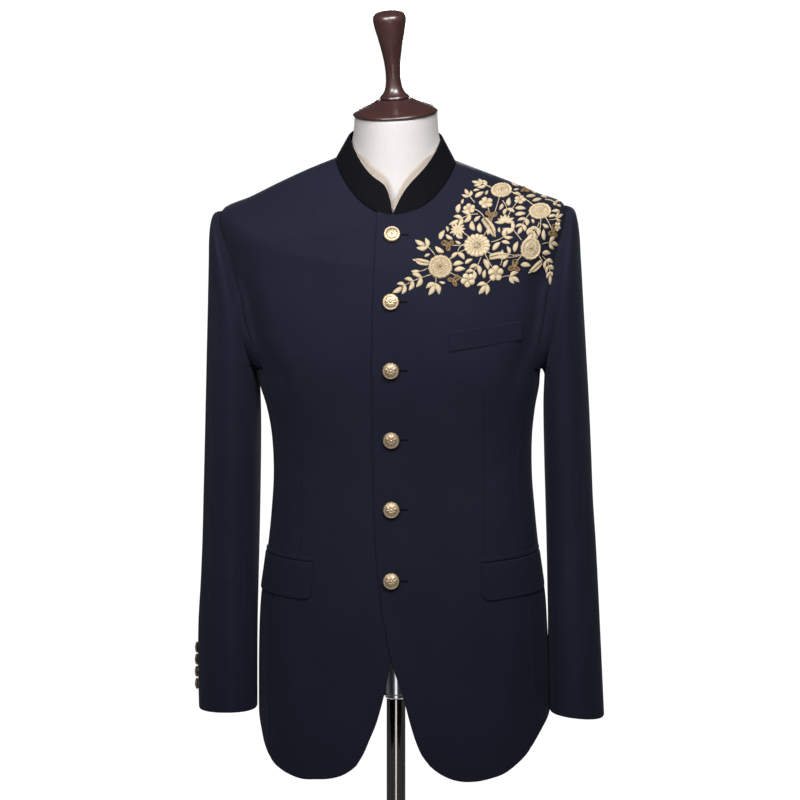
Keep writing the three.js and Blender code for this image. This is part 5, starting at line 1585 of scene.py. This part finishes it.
# Dress form: a padded torso without arms, covered in off-white linen jersey that is pulled taut over
# the shoulders and neck and tacked under the wooden cap. The coat hides it but for the neck, and
# through the open hem its lower end.
FORM_BOTTOM = 800
FORM_INSET = Table(("level", "inset"), [
    (800, 16), (840, 9), (1000, 7), (1165, 7), (1306, 6), (1350, 5), (1370, 3.4), (1390, 2.7), (1470, 2.7),
])
FORM_ARM_END = Table(("level", "right", "left"), [
    (800, 240, 240), (1120, 200, 200), (1165, 167, 177), (1208, 175, 181), (1256, 189, 191),
    (1306, 205, 201), (1350, 215, 208), (1367, 240, 240), (1470, 240, 240),
])
FORM_NECK = Table(("ring", "half", "front", "back", "side", "lean", "drop", "rise", "fall"), [
    (0, 72, 71, 56.5, 1429.5, -3, 64, 14, 1.6),
    (1, 62.5, 61, 50, 1444.5, -2, 61, 14, 1.6),
    (2, 56.2, 57, 46.5, 1461, 0.5, 50, 13, 1.5),
    (3, 54.3, 58, 44, 1476, 1.4, 30, 10, 1.2),
    (4, 53.4, 62, 43, 1493.5, 3, 9.2, 6.4, 1),
])
FORM_SEGMENTS = 120

form_turn = -180 + 360 * np.arange(FORM_SEGMENTS) / FORM_SEGMENTS
form_levels = np.concatenate([[800, 803, 808], np.arange(816, NECKLINE, 10), [NECKLINE - 1.5]])
rings = []
for level in form_levels:
    ring = body_at(form_turn, np.full(FORM_SEGMENTS, float(level)), -FORM_INSET.at("inset", level))
    end = np.where(ring[:, 0] < 0, *(FORM_ARM_END.straight(name, level) for name in ("right", "left")))
    ring[:, 0] = np.clip(ring[:, 0], -end, end)
    if level == FORM_BOTTOM:
        ring[:, 2] = level
    rings.append(ring)
sin, cos = np.sin(np.radians(form_turn)), np.cos(np.radians(form_turn))
for neck_ring in np.linspace(0, 4, 41):
    at = {name: FORM_NECK.at(name, neck_ring) for name in FORM_NECK.rows}
    fall = np.abs(cos) ** at["fall"] * np.where(cos > 0, -at["drop"], at["rise"])
    depth = np.where(cos > 0, at["front"], at["back"])
    rings.append(np.stack([at["half"] * sin, -cos * depth, at["side"] + at["lean"] * sin + fall], -1))
rings = np.array(rings)
form_points, form_faces = closed_rings(rings)
around = np.stack([run_along(rings, 1), run_along(rings, 0)], -1).reshape(-1, 2)


def linen_jersey():
    cloth = Finish("form_linen", {"Specular IOR Level": 0.3, "Sheen Weight": 0.12, "Sheen Roughness": 0.4})
    where = cloth.place_on_cloth()
    across, up = cloth.parts(where)
    rib = (across * (math.tau / 0.0012)).math("SINE") * (up * (math.tau / 0.0009)).math("SINE")
    slub = cloth.noise(cloth.scaled(where, (1.0, 0.2, 1.0)), 500, 3)
    soil = cloth.noise(cloth.place_in_space(), 14, 3)
    tone = slub * 0.6 + soil * 0.4
    cloth.feed("Base Color", cloth.mix(tone, (0.37, 0.35, 0.34, 1), (0.48, 0.46, 0.45, 1)))
    cloth.feed("Roughness", 0.92 - slub * 0.15)
    cloth.bump(rib * 0.4 + slub, 0.00012, 0.6)
    return cloth.material


jersey = linen_jersey()
form = make_piece("dress_form", form_points, form_faces, jersey, "form_linen", ["dress_form"], around)

# Neck cap and knob, turned from a close-grained hardwood, stained dark brown and lacquered. The cap
# is a low dome that overhangs the neck, and the tall waisted knob is the handle of the form.
NECK_TOP = np.array([0, -10, 1492])
NECK_AXIS = unit(np.array([-0.056, -0.148, 0.987]))
CAP_PROFILE = [
    # radius, height along the neck's axis
    (0, 0.4), (40, 0.4), (52.5, 0.4), (54.2, 1.0), (55, 2.4), (54.9, 3.6), (54.0, 4.9), (50.5, 7.6),
    (43, 11.2), (34, 14.6), (27, 17.8), (23, 20.2), (0, 20.2),
]
KNOB_PROFILE = [
    (0, 20.5), (16, 20.5), (18.2, 20.5), (19.3, 22.2), (18.4, 24.4), (15.6, 27), (12.4, 32), (10.6, 39),
    (9.6, 49), (9.9, 59), (10.8, 69), (12.5, 79), (14.6, 90), (17.1, 101), (19.6, 111.5), (21.3, 120),
    (21.7, 125), (20.2, 129.4), (15.5, 132.6), (8, 134.4), (0, 135),
]
TURNED_SEGMENTS = 96
CORNER_STEP = 0.3


def turned(name, profile, axis, origin, finish, slot, smooth=True):
    """A piece turned on a lathe from a profile of radius and height, set on an axis. A profile that
    isn't smooth keeps its corners, and close rows beside them keep its faces flat."""
    profile = np.array(profile, float)
    if smooth:
        run = np.concatenate([[0], np.cumsum(np.hypot(*np.diff(profile, axis=0).T))])
        table = Table(("run", "radius", "height"), np.column_stack([run, profile]).tolist())
        fine = np.unique(np.concatenate([np.linspace(0, run[-1], 110), run]))
        profile = np.column_stack([np.maximum(table.at("radius", fine), 0), table.at("height", fine)])
    else:
        rows = [profile[0]]
        for low, high in zip(profile[:-1], profile[1:]):
            length = np.hypot(*(high - low))
            step = (high - low) * CORNER_STEP / length
            if length > 3 * CORNER_STEP:
                rows += [low + step, high - step]
            rows.append(high)
        profile = np.array(rows)
    profile[0, 0] = profile[-1, 0] = 0.01
    turn = np.arange(TURNED_SEGMENTS) * math.tau / TURNED_SEGMENTS
    side_way = unit(np.cross([0, 1.0, 0], axis))
    circle = np.cos(turn)[:, None] * side_way + np.sin(turn)[:, None] * np.cross(axis, side_way)
    radius, height = profile.T[:, :, None, None]
    points, faces = closed_rings(origin + radius * circle + height * axis)
    return make_piece(name, points, faces, finish, slot, [name])


def stained_wood():
    wood = Finish("dark_wood", {"Specular IOR Level": 0.55, "Coat Weight": 0.55, "Coat Roughness": 0.12})
    where = wood.place_in_space()
    grain = wood.noise(wood.scaled(where, (1.0, 1.0, 0.09)), 210, 4, 0.65)
    flame = wood.noise(where, 11, 2)
    tone = grain * 0.8 + flame * 0.4
    wood.feed("Base Color", wood.mix(tone, (0.008, 0.0028, 0.0025, 1), (0.046, 0.016, 0.014, 1)))
    wood.feed("Roughness", grain * 0.25 + 0.24)
    wood.bump(grain, 0.00005, 0.4)
    return wood.material


dark_wood = stained_wood()
turned("neck_cap", CAP_PROFILE, NECK_AXIS, NECK_TOP, dark_wood, "dark_wood")
turned("cap_knob", KNOB_PROFILE, NECK_AXIS, NECK_TOP, dark_wood, "dark_wood")

# Stand: a bright chromed ferrule under the form, a dark chromed tube, and the round weighted foot,
# which the tube is screwed into. The photograph shows only the upper end of the tube.
FERRULE = {"radius": 14, "length": 72, "groove": 0.7}
POLE_RADIUS = 12.3
BASE = {"radius": 180, "edge": 6, "height": 12, "hub_radius": 26, "hub_height": 34}
STAND_GAP = 0.3
UPRIGHT = np.array([0, 0, 1.0])
FLOOR_POINT = np.array([0, 0, 0.0])


def chrome(name, dark, light, roughness):
    metal = Finish(name, {"Metallic": 1.0})
    where = metal.place_in_space()
    rub = metal.noise(metal.scaled(where, (1.0, 1.0, 0.05)), 300, 2)
    metal.feed("Base Color", metal.mix(rub, dark, light))
    metal.feed("Roughness", rub * 0.08 + roughness)
    return metal.material


bright_steel = chrome("bright_steel", (0.78, 0.8, 0.84, 1), (0.93, 0.95, 0.98, 1), 0.26)
dark_steel = chrome("dark_steel", (0.24, 0.22, 0.2, 1), (0.36, 0.34, 0.32, 1), 0.1)
ferrule_low, ferrule_top = FORM_BOTTOM - FERRULE["length"], FORM_BOTTOM - STAND_GAP
pole_low, pole_top = BASE["hub_height"] + STAND_GAP, ferrule_low - STAND_GAP
outside, grooved = FERRULE["radius"], FERRULE["radius"] - FERRULE["groove"]
rim, hub = BASE["radius"], BASE["hub_radius"]
STAND = [
    ("ferrule", bright_steel, "bright_steel", [
        (0, ferrule_low), (outside - 1, ferrule_low), (outside, ferrule_low + 1),
        (outside, ferrule_low + 5), (grooved, ferrule_low + 6),
        (grooved, FORM_BOTTOM - 7), (outside, FORM_BOTTOM - 6), (outside, ferrule_top), (0, ferrule_top),
    ]),
    ("pole", dark_steel, "dark_steel", [
        (0, pole_low), (POLE_RADIUS - 0.6, pole_low), (POLE_RADIUS, pole_low + 0.8),
        (POLE_RADIUS, pole_top), (0, pole_top),
    ]),
    ("base", dark_steel, "dark_steel", [
        (0, 0), (rim - 2, 0), (rim, 2), (rim, BASE["edge"]), (rim - 1, BASE["edge"] + 1.4),
        (rim - 4, BASE["edge"] + 2), (hub + 30, BASE["height"]), (hub + 4, BASE["height"] + 3),
        (hub, BASE["height"] + 7), (hub, BASE["hub_height"] - 3), (hub - 3, BASE["hub_height"]),
        (0, BASE["hub_height"]),
    ]),
]
for name, finish, slot, profile in STAND:
    turned(name, profile, UPRIGHT, FLOOR_POINT, finish, slot, smooth=False)
